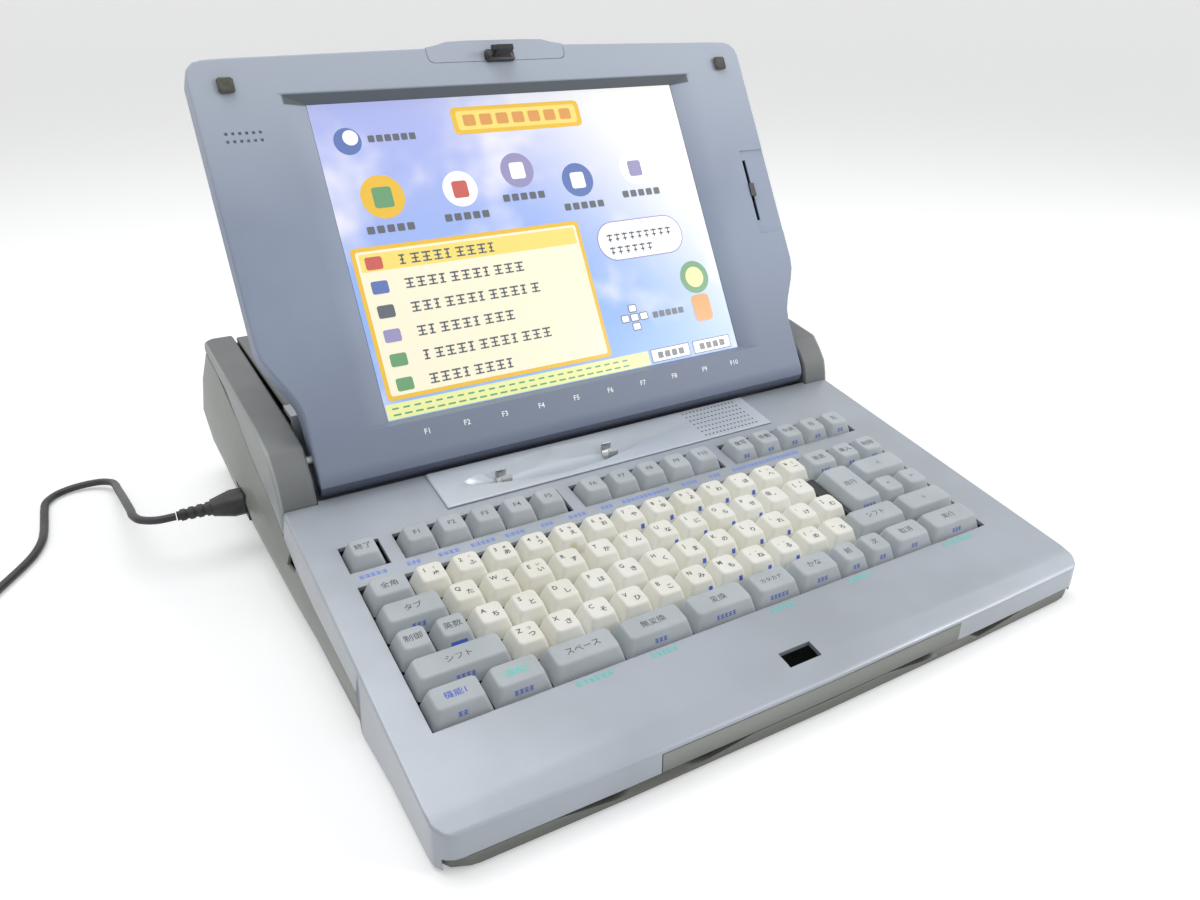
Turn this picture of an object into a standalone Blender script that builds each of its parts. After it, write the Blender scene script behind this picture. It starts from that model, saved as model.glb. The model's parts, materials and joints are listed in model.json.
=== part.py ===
"""Portable electronic word processor: keyboard base, built-in printer, hinged display lid.

Metres, +Z up.  X runs to the right along the keyboard and Y to the back.  The origin is
on the table, under the middle of the base.  The lid is modelled open, leaning back.
"""

import math

import bmesh
import bpy
import numpy as np
from mathutils import Matrix, Vector

# Fits shared by all pieces
GAP = 0.0003                    # between pieces that touch
RUNNING = 0.0004                # round shafts, stems and slides
CUT = 0.002                     # how far a cutter runs past the face it opens
ROUND_SIDES = 20                # sides of a turned piece
SMALL_SIDES = 12                # sides of a pin
STEM_SIDES = 8

# Base: overall
BODY_WIDTH = 0.380
BODY_DEPTH = 0.413
REAR_HEIGHT = 0.094
CASE_WALL = 0.0024
FLOOR_BOTTOM = 0.0021
FLOOR_THICKNESS = 0.0025
CORNER_RADIUS = 0.010           # front corners, in plan
REAR_CORNER_RADIUS = 0.012
FRONT_BOW = 0.0032              # the front edge stands forward in the middle
BOW_REACH = 0.060
DECK_EDGE_RADIUS = 0.0014
SIDE_FLARE = 0.0015             # the side stands out at the parting line
SIDE_BULGE = 0.0090             # and bulges towards the back, low down
UNDER_RADIUS = 0.0040

# Base: the nose falls from the deck to the upright front face
NOSE_LENGTH = 0.0150
NOSE_FALL = 0.0040
NOSE_SHARES = ((0.0, 1.0), (0.035, 0.70), (0.13, 0.50), (0.55, 0.20), (1.0, 0.0))
LIP_HEIGHT = 0.0083             # front seam between the two half shells

# Base: parting line of the side, as shares of depth and rear height
STEP_SHARE = -0.269
SEAM_SHARES = (
    (STEP_SHARE, 0.27), (-0.104, 0.31), (-0.022, 0.37), (0.065, 0.52),
    (0.182, 0.66), (0.320, 0.890), (0.416, 0.930), (0.5, 0.940),
)
STEP_RUN = 0.0008

# Keyboard deck: its frame lies on the key tops, at the first digit key
DECK_SLOPE = math.radians(9.04)
KEY_PITCH = 0.01905
KEY_TOP_HEIGHT = 0.050
DIGIT_ROW_SETBACK = 0.1335
KEYBOARD_CENTRE = -0.0053
KEY_PROUD = 0.006
KEYBOARD_PITCHES_SHARE = 17.5   # width of the whole block, in key pitches
FIRST_KEY_SHARE = 8.75          # from the block's middle to its left edge, in pitches
FUNCTION_ROW_SHARE = 1.685      # function row behind the digit row, in pitches
WELL_MARGIN = 0.0010

# Keys
KEY_SPACE = 0.00065             # between neighbouring caps
CAP_HEIGHT = 0.0095
CAP_SIDE_DRAW = 0.0029          # how far the top draws in at each side
CAP_BACK_DRAW = 0.0020
CAP_FRONT_DRAW = 0.0036
CAP_CHAMFER = 0.0013
SMALL_BEVEL = 0.0009
WEB_WIDTH = 0.006
WEB_THICKNESS = 0.0017
WEB_BITE = 0.0003               # how far the web reaches into a cap
STEM_RADIUS = 0.0020
STEM_LENGTH = 0.0072
STEM_WALL_ROW = 2               # row whose stems come down by the cross wall
KEY_TRAVEL = 0.0030

# Keyboard support plate
PLATE_DEPTH = 0.0160            # its top, below the key tops
PLATE_THICKNESS = 0.0012
PLATE_MARGIN = 0.0020
FILLER_SPACE = 0.0008
POST_SIZE = 0.007

# Rear deck: raised panel with the pen tray
PANEL_LEFT_SHARE = 1.52         # in key pitches from the first digit key
PANEL_RIGHT_SHARE = 13.33
PANEL_FRONT = 0.0505            # behind the digit row, on the slope
PANEL_REAR = 0.0835
PANEL_THICKNESS = 0.0012
PANEL_EDGE = 0.0010
TRAY_CENTRE_SHARE = 5.64
TRAY_HALF_LENGTH = 0.0675
TRAY_HALF_WIDTH = 0.0135
TRAY_DEPTH = 0.0062
TRAY_FLOOR_SHARE = 0.62
TRAY_WALL = 0.0012
TRAY_POINTS = 9
CLIP_SHARES = (3.68, 7.40)
CLIP_RADIUS = 0.0050
CLIP_THICKNESS = 0.0008
CLIP_WIDTH = 0.0065
CLIP_OPENING = math.radians(100)
CLIP_POINTS = 14

# Speaker under the rear deck
SPEAKER_SHARE = 11.75
SPEAKER_SETBACK = 0.0640
SPEAKER_RADIUS = 0.0165
SPEAKER_MAGNET_RADIUS = 0.0085
SPEAKER_DEPTH = 0.0060
SPEAKER_MAGNET_DEPTH = 0.0045

# Latch slot in the front of the deck
SLOT_CENTRE_X = -0.0025
SLOT_WIDTH = 0.0190
SLOT_LENGTH = 0.0092
LATCH_REACH = 0.2172            # from the hinge axis, along the lid

# Lid, in its own frame: origin on the hinge axis, Y up the lid, Z out of the bezel
HINGE_SETBACK = 0.2315
HINGE_HEIGHT = 0.0763
LID_LEAN = math.radians(30.06)
LID_FACE = 0.0091
LID_THICKNESS = 0.0180
LID_HALF_WIDTH = 0.1835
LID_NECK_HALF_WIDTH = 0.1680
LID_BOTTOM = -0.0210
LID_SHOULDER = 0.0220
LID_SHOULDER_RISE = 0.0420
LID_TOP_CORNER = 0.2220
LID_CROWN = 0.0025
LID_CORNER_RADIUS = 0.0100
LID_WALL = 0.0022
LID_SPLIT = 0.0080              # depth of the bezel half
LID_EDGE_RADIUS = 0.0012
LID_BACK_RADIUS = 0.0040
LID_TOE_RADIUS = 0.0110         # large rounding of the lower front edge
LID_TOE_SHARES = ((0.0, 1.0), (0.12, 0.58), (0.45, 0.22), (0.80, 0.05), (1.0, 0.0))
SHOULDER_POINTS = 7

# Latch panel: raised middle of the lid's top edge
LATCH_PANEL_HALF_WIDTH = 0.0460
LATCH_PANEL_BOTTOM = 0.2148
LATCH_PANEL_THICKNESS = 0.0030
LATCH_PANEL_RISE = 0.0035
LATCH_PANEL_CORNER = 0.0035
LATCH_SHOULDER_SHARE = 0.62
RIM_MARGIN = 0.0030
RIM_DEPTH = 0.0056

# Lid latch
LATCH_HALF_WIDTH = 0.0095
LATCH_HEIGHT = 0.0075
LATCH_BLOCK = 0.0032
LATCH_STEM_HALF_WIDTH = 0.0040
LATCH_STEM_HEIGHT = 0.0026
LATCH_TRAVEL = 0.0050
LATCH_FLANGE_MARGIN = 0.0030
LATCH_FLANGE_THICKNESS = 0.0012
HOOK_HALF_WIDTH = 0.0050
HOOK_THICKNESS = 0.0030
HOOK_REACH = 0.0127
HOOK_LIP = 0.0040
HOOK_LIP_THICKNESS = 0.0022

# Screen
SCREEN_WIDTH = 0.2460
SCREEN_HEIGHT = 0.1845
SCREEN_BOTTOM = 0.0110          # above the hinge axis, along the lid
SCREEN_SINK = 0.0050
SCREEN_BEVEL_SIDE = 0.0160
SCREEN_BEVEL_TOP = 0.0055
SCREEN_BEVEL_BOTTOM = 0.0030
SCREEN_FRAME = 0.0060
PANEL_BODY_THICKNESS = 0.0065
PANEL_POST_SPACING = 0.0900
PANEL_POST_SIZE = 0.0160

# Brightness slider on the right of the bezel
BRIGHT_X = 0.1652
BRIGHT_CENTRE = 0.1155
BRIGHT_SLOT_LENGTH = 0.0430
BRIGHT_SLOT_WIDTH = 0.0026
BRIGHT_RECESS_BOTTOM = 0.0845
BRIGHT_RECESS_TOP = 0.1435
BRIGHT_RECESS_DEPTH = 0.0011
BRIGHT_RECESS_LEFT = 0.1630
KNOB_LENGTH = 0.0090
KNOB_WIDTH = 0.0042
KNOB_HEIGHT = 0.0016

# Bumpers on the bezel
BUMPER_X = 0.1645
BUMPER_HEIGHT_ON_LID = 0.2060
BUMPER_SIZE = 0.0088
BUMPER_PROUD = 0.0032
BUMPER_BEVEL = 0.0012

# Hinges
CHEEK_GAP = 0.0033              # between the lid's neck and a cheek
HINGE_PIN_RADIUS = 0.0025
HINGE_PIN_INNER = 0.0160        # how far the pin reaches into the lid
HINGE_BRACKET_THICKNESS = 0.0020
HINGE_BRACKET_REACH = 0.0140
HINGE_BRACKET_DROP = 0.0240
TROUGH_RADIUS = 0.0230
TROUGH_START = math.radians(-122)
TROUGH_END = math.radians(6)
TROUGH_POINTS = 12
TROUGH_GAP = 0.0004

# Cheeks beside the lid
CHEEK_FRONT = 0.0096            # front face, behind the middle of the base
CHEEK_CURVE = 0.0163            # depth of the rounded front
CHEEK_FRONT_SHARES = ((0.0, 0.60), (0.06, 0.66), (0.20, 0.745), (0.56, 0.826), (1.0, 0.903))
CHEEK_TOP_SHARES = ((0.125, 0.947), (0.32, 0.975), (0.5, 1.0))
CHEEK_EDGE = 0.0015

# Printer cover
COVER_THICKNESS = 0.0030
COVER_FRONT = 0.0660
STRIP_FRONT = 0.0480            # fixed strip between the lid and the printer cover
COVER_SIDE_GAP = 0.0014
COVER_REAR_SETBACK = 0.0062
COVER_AXIS_SETBACK = 0.0115
COVER_AXIS_DROP = 0.0030
COVER_PIN_RADIUS = 0.0020
COVER_PIN_LENGTH = 0.0034
COVER_LUG_LENGTH = 0.0080
COVER_LUG_WIDTH = 0.0060
PAPER_SLOT_LEFT = -0.0860
PAPER_SLOT_RIGHT = 0.1500
PAPER_SLOT_Y = 0.1600
PAPER_SLOT_LENGTH = 0.0080

# Printer
FRAME_LEFT = -0.0980
FRAME_RIGHT = 0.1600
FRAME_FRONT = 0.0885
FRAME_REAR = 0.1900
FRAME_SHEET = 0.0016
FRAME_FLOOR = 0.0083
FRAME_TOP = 0.0790
PLATEN_Y = 0.1400
PLATEN_Z = 0.0660
PLATEN_RADIUS = 0.0090
PLATEN_SHAFT_RADIUS = 0.0030
PLATEN_END_GAP = 0.0100
GEAR_TEETH = 24
GEAR_PITCH_RADIUS = 0.0168
GEAR_WIDTH = 0.0045
PINION_TEETH = 8
TOOTH_DEPTH = 0.0016
GEAR_BACKLASH = 0.0003
MOTOR_ANGLE = math.radians(-45)
MOTOR_RADIUS = 0.0120
MOTOR_LENGTH = 0.0240
MOTOR_SHAFT_RADIUS = 0.0012
RAIL_Y = 0.1080
RAIL_Z = 0.0440
RAIL_RADIUS = 0.0030
CARRIAGE_WIDTH = 0.0400
CARRIAGE_DEPTH = 0.0260
CARRIAGE_BOTTOM = 0.0370
CARRIAGE_TOP = 0.0700
CARRIAGE_HOME = 0.0120          # space between the carriage at rest and the frame
HEAD_WIDTH = 0.0120
HEAD_HEIGHT = 0.0120
HEAD_GAP = 0.0006
CASSETTE_WIDTH = 0.0600
CASSETTE_DEPTH = 0.0420
CASSETTE_HEIGHT = 0.0140
CASSETTE_CORNER = 0.0100

# Inside the base
BOARD_LEFT = -0.1600
BOARD_RIGHT = 0.0480
BOARD_FRONT = -0.1400
BOARD_REAR = 0.0300
BOARD_THICKNESS = 0.0016
CHIP_HEIGHT = 0.0030
STANDOFF = 0.0034
STANDOFF_SIZE = 0.0070
SUPPLY_LEFT = -0.1680
SUPPLY_RIGHT = -0.1080
SUPPLY_FRONT = 0.0580
SUPPLY_REAR = 0.1850
SUPPLY_CORE_HEIGHT = 0.0360

# Diskette drive on the right
DRIVE_LENGTH = 0.1300
DRIVE_WIDTH = 0.1020
DRIVE_HEIGHT = 0.0200
DRIVE_FRONT = -0.0160
DRIVE_FACE_GAP = 0.0030
DISK_WIDTH = 0.0920
DISK_SLOT = 0.0052
DISK_SLOT_DEPTH = 0.0920
DISK_SLOT_RAISE = 0.0125
EJECT_WIDTH = 0.0120
EJECT_HEIGHT = 0.0045
EJECT_LENGTH = 0.0140
EJECT_PROUD = 0.0020
EJECT_TRAVEL = 0.0060

# Power switch on the right, behind the drive
SWITCH_Y = 0.1050
SWITCH_HEIGHT = 0.0300
SWITCH_SIZE = 0.0140
SWITCH_LENGTH = 0.0160
SWITCH_PROUD = 0.0005

# Inlet and cord on the left
INLET_Y = 0.0850
INLET_Z = 0.0310
INLET_WIDTH = 0.0220
INLET_HEIGHT = 0.0170
INLET_DEPTH = 0.0240
PLUG_WIDTH = 0.0170
PLUG_HEIGHT = 0.0130
PLUG_TAPER_SHARE = 0.62
PLUG_LENGTH = 0.0180
RELIEF_LENGTH = 0.0190
RELIEF_RADIUS = 0.0042
RELIEF_END_RADIUS = 0.0033
RELIEF_RIBS = 4
RELIEF_GROOVE = 0.0008
CORD_DIAMETER = 0.0050
CORD_LIFT = 0.0001
COIL_X = -0.4150
COIL_Y = 0.0100
COIL_INNER_RADIUS = 0.0190
COIL_STEP = 0.00555
COIL_TURNS = 3.75
COIL_POINTS = 24
COIL_LEAD = 0.0320              # straight end, down to the plug on the table
MAINS_PLUG_LENGTH = 0.0320
MAINS_PLUG_WIDTH = 0.0230
MAINS_PLUG_HEIGHT = 0.0150
BLADE_LENGTH = 0.0170
BLADE_HEIGHT = 0.0063
BLADE_THICKNESS = 0.0015
BLADE_SPACING = 0.0127

# Route of the free cord, chosen by hand: first point at the strain relief
CORD_ROUTE = (
    (-0.2367, 0.0850, 0.0310), (-0.2468, 0.0859, 0.0309), (-0.2549, 0.0919, 0.0304),
    (-0.2581, 0.1014, 0.0293), (-0.2586, 0.1116, 0.0277), (-0.2591, 0.1218, 0.0258),
    (-0.2597, 0.1320, 0.0236), (-0.2602, 0.1422, 0.0211), (-0.2607, 0.1525, 0.0186),
    (-0.2612, 0.1627, 0.0160), (-0.2618, 0.1729, 0.0134), (-0.2623, 0.1831, 0.0109),
    (-0.2628, 0.1933, 0.0086), (-0.2647, 0.2033, 0.0065), (-0.2709, 0.2112, 0.0049),
    (-0.2802, 0.2152, 0.0036), (-0.2904, 0.2149, 0.0029), (-0.2993, 0.2102, 0.0027),
    (-0.3049, 0.2017, 0.0027), (-0.3063, 0.1917, 0.0027), (-0.3068, 0.1814, 0.0027),
    (-0.3073, 0.1712, 0.0027), (-0.3079, 0.1610, 0.0027), (-0.3091, 0.1509, 0.0027),
    (-0.3116, 0.1410, 0.0027), (-0.3153, 0.1315, 0.0027), (-0.3203, 0.1225, 0.0027),
    (-0.3258, 0.1139, 0.0027), (-0.3314, 0.1054, 0.0027), (-0.3369, 0.0968, 0.0027),
    (-0.3429, 0.0885, 0.0027), (-0.3491, 0.0804, 0.0027), (-0.3554, 0.0723, 0.0027),
    (-0.3616, 0.0642, 0.0027), (-0.3666, 0.0553, 0.0027), (-0.3696, 0.0455, 0.0027),
    (-0.3712, 0.0354, 0.0027), (-0.3728, 0.0253, 0.0026), (-0.37437, 0.01524, 0.0026),
)

# Carry handle in the front
HANDLE_HALF_WIDTH = 0.0905
HANDLE_TOP = 0.0188
HANDLE_BAR = 0.0060
HANDLE_ARM_CENTRE = 0.0790
HANDLE_ARM_WIDTH = 0.0100
HANDLE_ARM_LENGTH = 0.0500
HANDLE_ARM_HEIGHT = 0.0045
GUIDE_WALL = 0.0020
GUIDE_LENGTH = 0.0420
GUIDE_SETBACK = 0.0110
FINGER_HALF_LENGTH = 0.0520
FINGER_HEIGHT = 0.0050
FINGER_DEPTH = 0.0140
FINGER_POINTS = 9

# Feet
FOOT_RADIUS = 0.0080
FOOT_INSET_X = 0.0260
FOOT_INSET_FRONT = 0.0300
FOOT_INSET_REAR = 0.0240

# Rear vents
VENT_COUNT = 10
VENT_PITCH = 0.0080
VENT_WIDTH = 0.0035
VENT_BOTTOM = 0.0300
VENT_TOP = 0.0600

# Slot in the left side, on the parting line
LOCK_Y = -0.0060
LOCK_LENGTH = 0.0110
LOCK_HEIGHT = 0.0042

# Rows of keys: (left edge, width, row, rows covered), in key pitches
LETTER_ROW_SHARES = ((-0.5, 13), (0.0, 12), (0.25, 12), (0.75, 11))
KEY_GROUP_SHARES = {
    "key_top_left": ((-1.75, 1.25, 0, 1),),
    "key_tab": ((-1.75, 1.75, 1, 1),),
    "keys_lock": ((-1.75, 1.0, 2, 1), (-0.75, 1.0, 2, 1)),
    "key_shift_left": ((-1.75, 2.5, 3, 1),),
    "keys_mode": ((-1.75, 1.5, 4, 1), (-0.25, 1.5, 4, 1)),
    "key_space": ((1.25, 2.0, 4, 1),),
    "keys_bottom": (
        (3.25, 2.0, 4, 1), (5.25, 2.0, 4, 1), (7.25, 1.5, 4, 1), (8.75, 1.5, 4, 1),
        (10.25, 1.0, 4, 1), (11.25, 1.0, 4, 1), (12.25, 1.5, 4, 1)),
    "keys_enter": ((12.5, 1.25, 0, 1), (12.5, 1.25, 1, 2)),
    "key_shift_right": ((11.75, 2.0, 3, 1),),
    "keys_right": (
        (13.75, 1.0, 0, 1), (14.75, 1.0, 0, 1), (13.75, 2.0, 1, 1),
        (13.75, 1.0, 2, 1), (14.75, 1.0, 2, 1), (13.75, 2.0, 3, 1), (13.75, 2.0, 4, 1)),
}
SPINE_SHARES = {"keys_enter": 13.125, "keys_right": 14.25}
FUNCTION_GROUP_SHARES = {
    "keys_function_left": ((-1.75, 1), (-0.25, 5)),
    "keys_function_right": ((5.25, 5),),
    "keys_edit": ((10.75, 5),),
}
FILLER_SHARES = ((12.0, 12.5, 1), (12.25, 12.5, 2))

# Microphone holes in the lid
MIC_LEFT = -0.1706
MIC_BOTTOM = 0.1754
MIC_PITCH = 0.0036
MIC_ROW = 0.0044
MIC_HOLE = 0.0016

# Shares that shape single curves and sections
ACROSS_SHARES = (-1.0, -0.62, 0.0, 0.62, 1.0)
SIDE_SHARES = (0.0, 0.10, 0.28, 0.55, 0.80)
CORNER_SHARES = (0.30, 0.65)
TRAY_CORNER_SHARES = (0.0, 0.30, 0.65, 1.0)
REAR_CORNER_SHARES = (1.0, 0.50, 0.15, 0.0)
REAR_RING_SHARE = 0.77
NEAR_FLARE_SHARE = 0.20
EDGE_STEP_SHARE = 0.30
FINGER_POWER_SHARE = 1.6
TRAY_POWER_SHARE = 1.8
TOOTH_OUT_SHARE = 0.42
TOOTH_ROOT_SHARE = 0.58
TOOTH_FOOT_SHARE = 0.34
TOOTH_LAND_SHARE = 0.13
SHOULDER_INSET_SHARE = 0.40
CROWN_SHARES = (1.0, 0.50, 0.27, 0.21, 0.15, 0.07)
BEZEL_LEVEL_SHARES = (0.25, 0.60, 1.0)
HOLLOW_LEVEL_SHARE = 0.55
HOLLOW_TOE_SHARE = 0.35
PANEL_TOP_SHARES = (1.0, 0.86, 0.70, 0.40, 0.0)
PLUG_BODY_SHARE = 0.35
RIB_SHARES = (0.55, 0.65, 0.95)
BACK_SHARES = ((0.45, 0.80, 0.90), (0.60, 1.0, 1.0))
CHIP_SHARES = ((0.45, 0.35, 0.16), (0.70, 0.35, 0.12), (0.45, 0.70, 0.14), (0.72, 0.70, 0.10))
HANDLE_POINTS = 9
CURVE_STEPS = 20
ROUTE_POINTS = 34

# Keyboard's first column and last row, in key pitches from the first digit key
FIRST_COLUMN_SHARE = -1.75
LAST_ROW_SHARE = -4.5

# Colours: red, green and blue, roughness, metallic
FINISHES = {
    "silver_plastic": (0.40, 0.44, 0.49, 0.42, 0.35),
    "grey_plastic": (0.33, 0.36, 0.39, 0.55, 0.0),
    "lid_plastic": (0.19, 0.22, 0.30, 0.55, 0.0),
    "light_key": (0.76, 0.76, 0.70, 0.60, 0.0),
    "grey_key": (0.38, 0.41, 0.43, 0.60, 0.0),
    "black_plastic": (0.03, 0.03, 0.035, 0.50, 0.0),
    "screen": (0.62, 0.68, 0.85, 0.15, 0.0),
    "steel": (0.56, 0.57, 0.58, 0.35, 1.0),
    "rubber": (0.05, 0.05, 0.05, 0.85, 0.0),
    "board": (0.03, 0.16, 0.07, 0.60, 0.0),
    "cord": (0.02, 0.02, 0.022, 0.55, 0.0),
    "brass": (0.66, 0.50, 0.24, 0.30, 1.0),
}

KEY_ORIGIN = Vector((
    KEYBOARD_CENTRE - (FIRST_KEY_SHARE + FIRST_COLUMN_SHARE) * KEY_PITCH,
    DIGIT_ROW_SETBACK - BODY_DEPTH / 2,
    KEY_TOP_HEIGHT,
))
HINGE = Vector((0.0, HINGE_SETBACK - BODY_DEPTH / 2, HINGE_HEIGHT))
FRONT_Y = -BODY_DEPTH / 2
REAR_Y = BODY_DEPTH / 2
FLOOR_TOP = FLOOR_BOTTOM + FLOOR_THICKNESS
CHEEK_INNER = LID_NECK_HALF_WIDTH + CHEEK_GAP


# Scene, collections and materials

def clear_scene():
    for item in list(bpy.data.objects):
        bpy.data.objects.remove(item, do_unlink=True)


def new_collection(name):
    collection = bpy.data.collections.new(name)
    bpy.context.scene.collection.children.link(collection)
    return collection


def new_material(name, finish):
    red, green, blue, roughness, metallic = FINISHES[finish]
    material = bpy.data.materials.new(name)
    material.use_nodes = True
    shader = material.node_tree.nodes["Principled BSDF"]
    shader.inputs["Base Color"].default_value = (red, green, blue, 1.0)
    shader.inputs["Roughness"].default_value = roughness
    shader.inputs["Metallic"].default_value = metallic
    return material


clear_scene()
PARTS = new_collection("word_processor")
CUTTERS = new_collection("cutters")


# Frames

def new_frame(name, location, angle=0.0):
    """An empty whose X axis is the world's, turned by the angle about it."""
    frame = bpy.data.objects.new(name, None)
    frame.location = location
    frame.rotation_euler = (angle, 0.0, 0.0)
    frame.empty_display_size = KEY_PITCH
    PARTS.objects.link(frame)
    return frame


DECK = new_frame("deck_frame", KEY_ORIGIN, DECK_SLOPE)
LID = new_frame("lid_hinge_axis", HINGE, math.pi / 2 - LID_LEAN)


# Solids

def new_piece(name, mesh, finish=None, frame=None):
    """A sub-part with its material, or a cutter when no finish is given."""
    piece = bpy.data.objects.new(name, mesh)
    if finish is None:
        CUTTERS.objects.link(piece)
        piece.display_type = "WIRE"
        piece.hide_render = True
    else:
        PARTS.objects.link(piece)
        mesh.materials.append(new_material(name, finish))
    piece.parent = frame
    return piece


def mesh_from(bm, name):
    bmesh.ops.recalc_face_normals(bm, faces=bm.faces)
    mesh = bpy.data.meshes.new(name)
    bm.to_mesh(mesh)
    bm.free()
    return mesh


def boxes(name, corners, finish=None, frame=None):
    """Boxes that don't meet each other, each from its low and high corner."""
    bm = bmesh.new()
    for low, high in corners:
        low, high = Vector(low), Vector(high)
        made = bmesh.ops.create_cube(bm, size=1.0)["verts"]
        place = Matrix.Translation((low + high) / 2) @ Matrix.Diagonal((*(high - low), 1.0))
        bmesh.ops.transform(bm, matrix=place, verts=made)
    return new_piece(name, mesh_from(bm, name), finish, frame)


def box(name, low, high, finish=None, frame=None):
    return boxes(name, [(low, high)], finish, frame)


def turned(name, profile, finish=None, frame=None, sides=ROUND_SIDES, axis="Z", at=(0, 0, 0)):
    """A solid of round sections: the profile holds (distance along the axis, radius)."""
    bm = bmesh.new()
    rings = []
    turn = np.arange(sides) * (2 * math.pi / sides)
    for along, radius in profile:
        ring = [bm.verts.new((radius * math.cos(a), radius * math.sin(a), along)) for a in turn]
        rings.append(ring)
    close_rings(bm, rings)
    swing = {"X": Matrix.Rotation(math.pi / 2, 4, "Y"), "Y": Matrix.Rotation(-math.pi / 2, 4, "X")}
    bmesh.ops.transform(bm, matrix=Matrix.Translation(at) @ swing.get(axis, Matrix()), verts=bm.verts)
    return new_piece(name, mesh_from(bm, name), finish, frame)


def close_rings(bm, rings, columns=0):
    """Quads between neighbouring rings, and a cap on each end.

    A bent cap is made of upright strips: its ring starts with that many points of the
    lower edge, and has as many along the upper edge, the other way round.
    """
    for first, second in zip(rings, rings[1:]):
        count = len(first)
        for i in range(count):
            j = (i + 1) % count
            bm.faces.new((first[i], first[j], second[j], second[i]))
    for ring in (rings[0], rings[-1]):
        if not columns:
            bm.faces.new(ring)
            continue
        rise = len(ring) // 2 - columns
        last = 2 * columns + rise - 1
        for k in range(columns - 1):
            bm.faces.new((ring[k], ring[k + 1], ring[last - k - 1], ring[last - k]))
        sides = [ring[0]] + ring[last:], ring[columns - 1:columns + rise + 1]
        for side in sides:
            for first, second in zip(side[1:], side[2:]):
                bm.faces.new((side[0], first, second))
    if columns:
        bmesh.ops.triangulate(bm, faces=bm.faces)


def loft(name, rings, finish=None, frame=None, columns=0):
    """A closed solid through rings of equal counts of points."""
    bm = bmesh.new()
    close_rings(bm, [[bm.verts.new(point) for point in ring] for ring in rings], columns)
    return new_piece(name, mesh_from(bm, name), finish, frame)


PLANES = {
    "XY": Matrix.Identity(4),
    "XZ": Matrix(((1, 0, 0, 0), (0, 0, -1, 0), (0, 1, 0, 0), (0, 0, 0, 1))),
    "YZ": Matrix(((0, 0, 1, 0), (1, 0, 0, 0), (0, 1, 0, 0), (0, 0, 0, 1))),
}


def outline(name, points, plane, low, high, finish=None, frame=None):
    """A flat outline in a plane, extruded between two distances along its normal."""
    curve = bpy.data.curves.new(name, "CURVE")
    curve.dimensions = "2D"
    curve.fill_mode = "BOTH"
    curve.extrude = (high - low) / 2
    spline = curve.splines.new("POLY")
    spline.points.add(len(points) - 1)
    for point, (u, v) in zip(spline.points, points):
        point.co = (u, v, 0.0, 1.0)
    spline.use_cyclic_u = True
    mesh = curve_mesh(name, curve)
    middle = (low + high) / 2
    if plane == "XZ":
        middle = -middle
    mesh.transform(PLANES[plane] @ Matrix.Translation((0.0, 0.0, middle)))
    return new_piece(name, mesh, finish, frame)


def curve_mesh(name, curve):
    """The closed mesh of a curve, with its loose caps welded."""
    holder = bpy.data.objects.new(name + "_curve", curve)
    bpy.context.scene.collection.objects.link(holder)
    graph = bpy.context.evaluated_depsgraph_get()
    mesh = bpy.data.meshes.new_from_object(holder.evaluated_get(graph))
    bpy.data.objects.remove(holder, do_unlink=True)
    bm = bmesh.new()
    bm.from_mesh(mesh)
    bmesh.ops.remove_doubles(bm, verts=bm.verts, dist=GAP / 30)
    bpy.data.meshes.remove(mesh)
    return mesh_from(bm, name)


def tube(name, points, radius, finish, resolution=2):
    """A round bar along points, with filled ends."""
    curve = bpy.data.curves.new(name, "CURVE")
    curve.dimensions = "3D"
    curve.bevel_depth = radius
    curve.bevel_resolution = resolution
    curve.use_fill_caps = True
    spline = curve.splines.new("POLY")
    spline.points.add(len(points) - 1)
    for point, place in zip(spline.points, points):
        point.co = (*place, 1.0)
    return new_piece(name, curve_mesh(name, curve), finish)


def combine(target, operand, operation, solver="EXACT"):
    modifier = target.modifiers.new(operand.name, "BOOLEAN")
    modifier.operation = operation
    modifier.solver = solver
    modifier.object = operand
    return target


def cut(target, *operands, solver="EXACT"):
    for operand in operands:
        combine(target, operand, "DIFFERENCE", solver)


def unite(target, *operands):
    for operand in operands:
        combine(target, operand, "UNION")


def bevel(piece, width, segments=2):
    modifier = piece.modifiers.new("rounded_edges", "BEVEL")
    modifier.width = width
    modifier.segments = segments
    modifier.limit_method = "ANGLE"
    return piece


def arc(centre, radius, start, end, count):
    """Points of an arc, from one angle to another."""
    angles = np.linspace(start, end, count)
    return [(centre[0] + radius * math.cos(a), centre[1] + radius * math.sin(a)) for a in angles]


# Shape of the base

def deck_height(y, sink=0.0):
    """Height of the deck at a distance along Y, or of a plane sunk under it."""
    drop = (KEY_PROUD + sink) / math.cos(DECK_SLOPE)
    return KEY_TOP_HEIGHT + math.tan(DECK_SLOPE) * (y - KEY_ORIGIN.y) - drop


def seam_height(y):
    shares = np.array(SEAM_SHARES)
    return float(np.interp(y, shares[:, 0] * BODY_DEPTH, shares[:, 1] * REAR_HEIGHT))


def nose_fall(distance):
    shares = np.array(NOSE_SHARES)
    return float(np.interp(distance, shares[:, 0] * NOSE_LENGTH, shares[:, 1] * NOSE_FALL))


def corner_inset(distance, radius):
    """How far a side has drawn in, at a distance from the end, round a corner in plan."""
    if distance >= radius:
        return 0.0
    return radius - math.sqrt(max(0.0, radius ** 2 - (radius - distance) ** 2))


def bowed(x, y, distance):
    """The front edge lies further back towards its ends."""
    fade = max(0.0, 1.0 - distance / BOW_REACH)
    return y + FRONT_BOW * fade * (2 * x / BODY_WIDTH) ** 2


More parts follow.
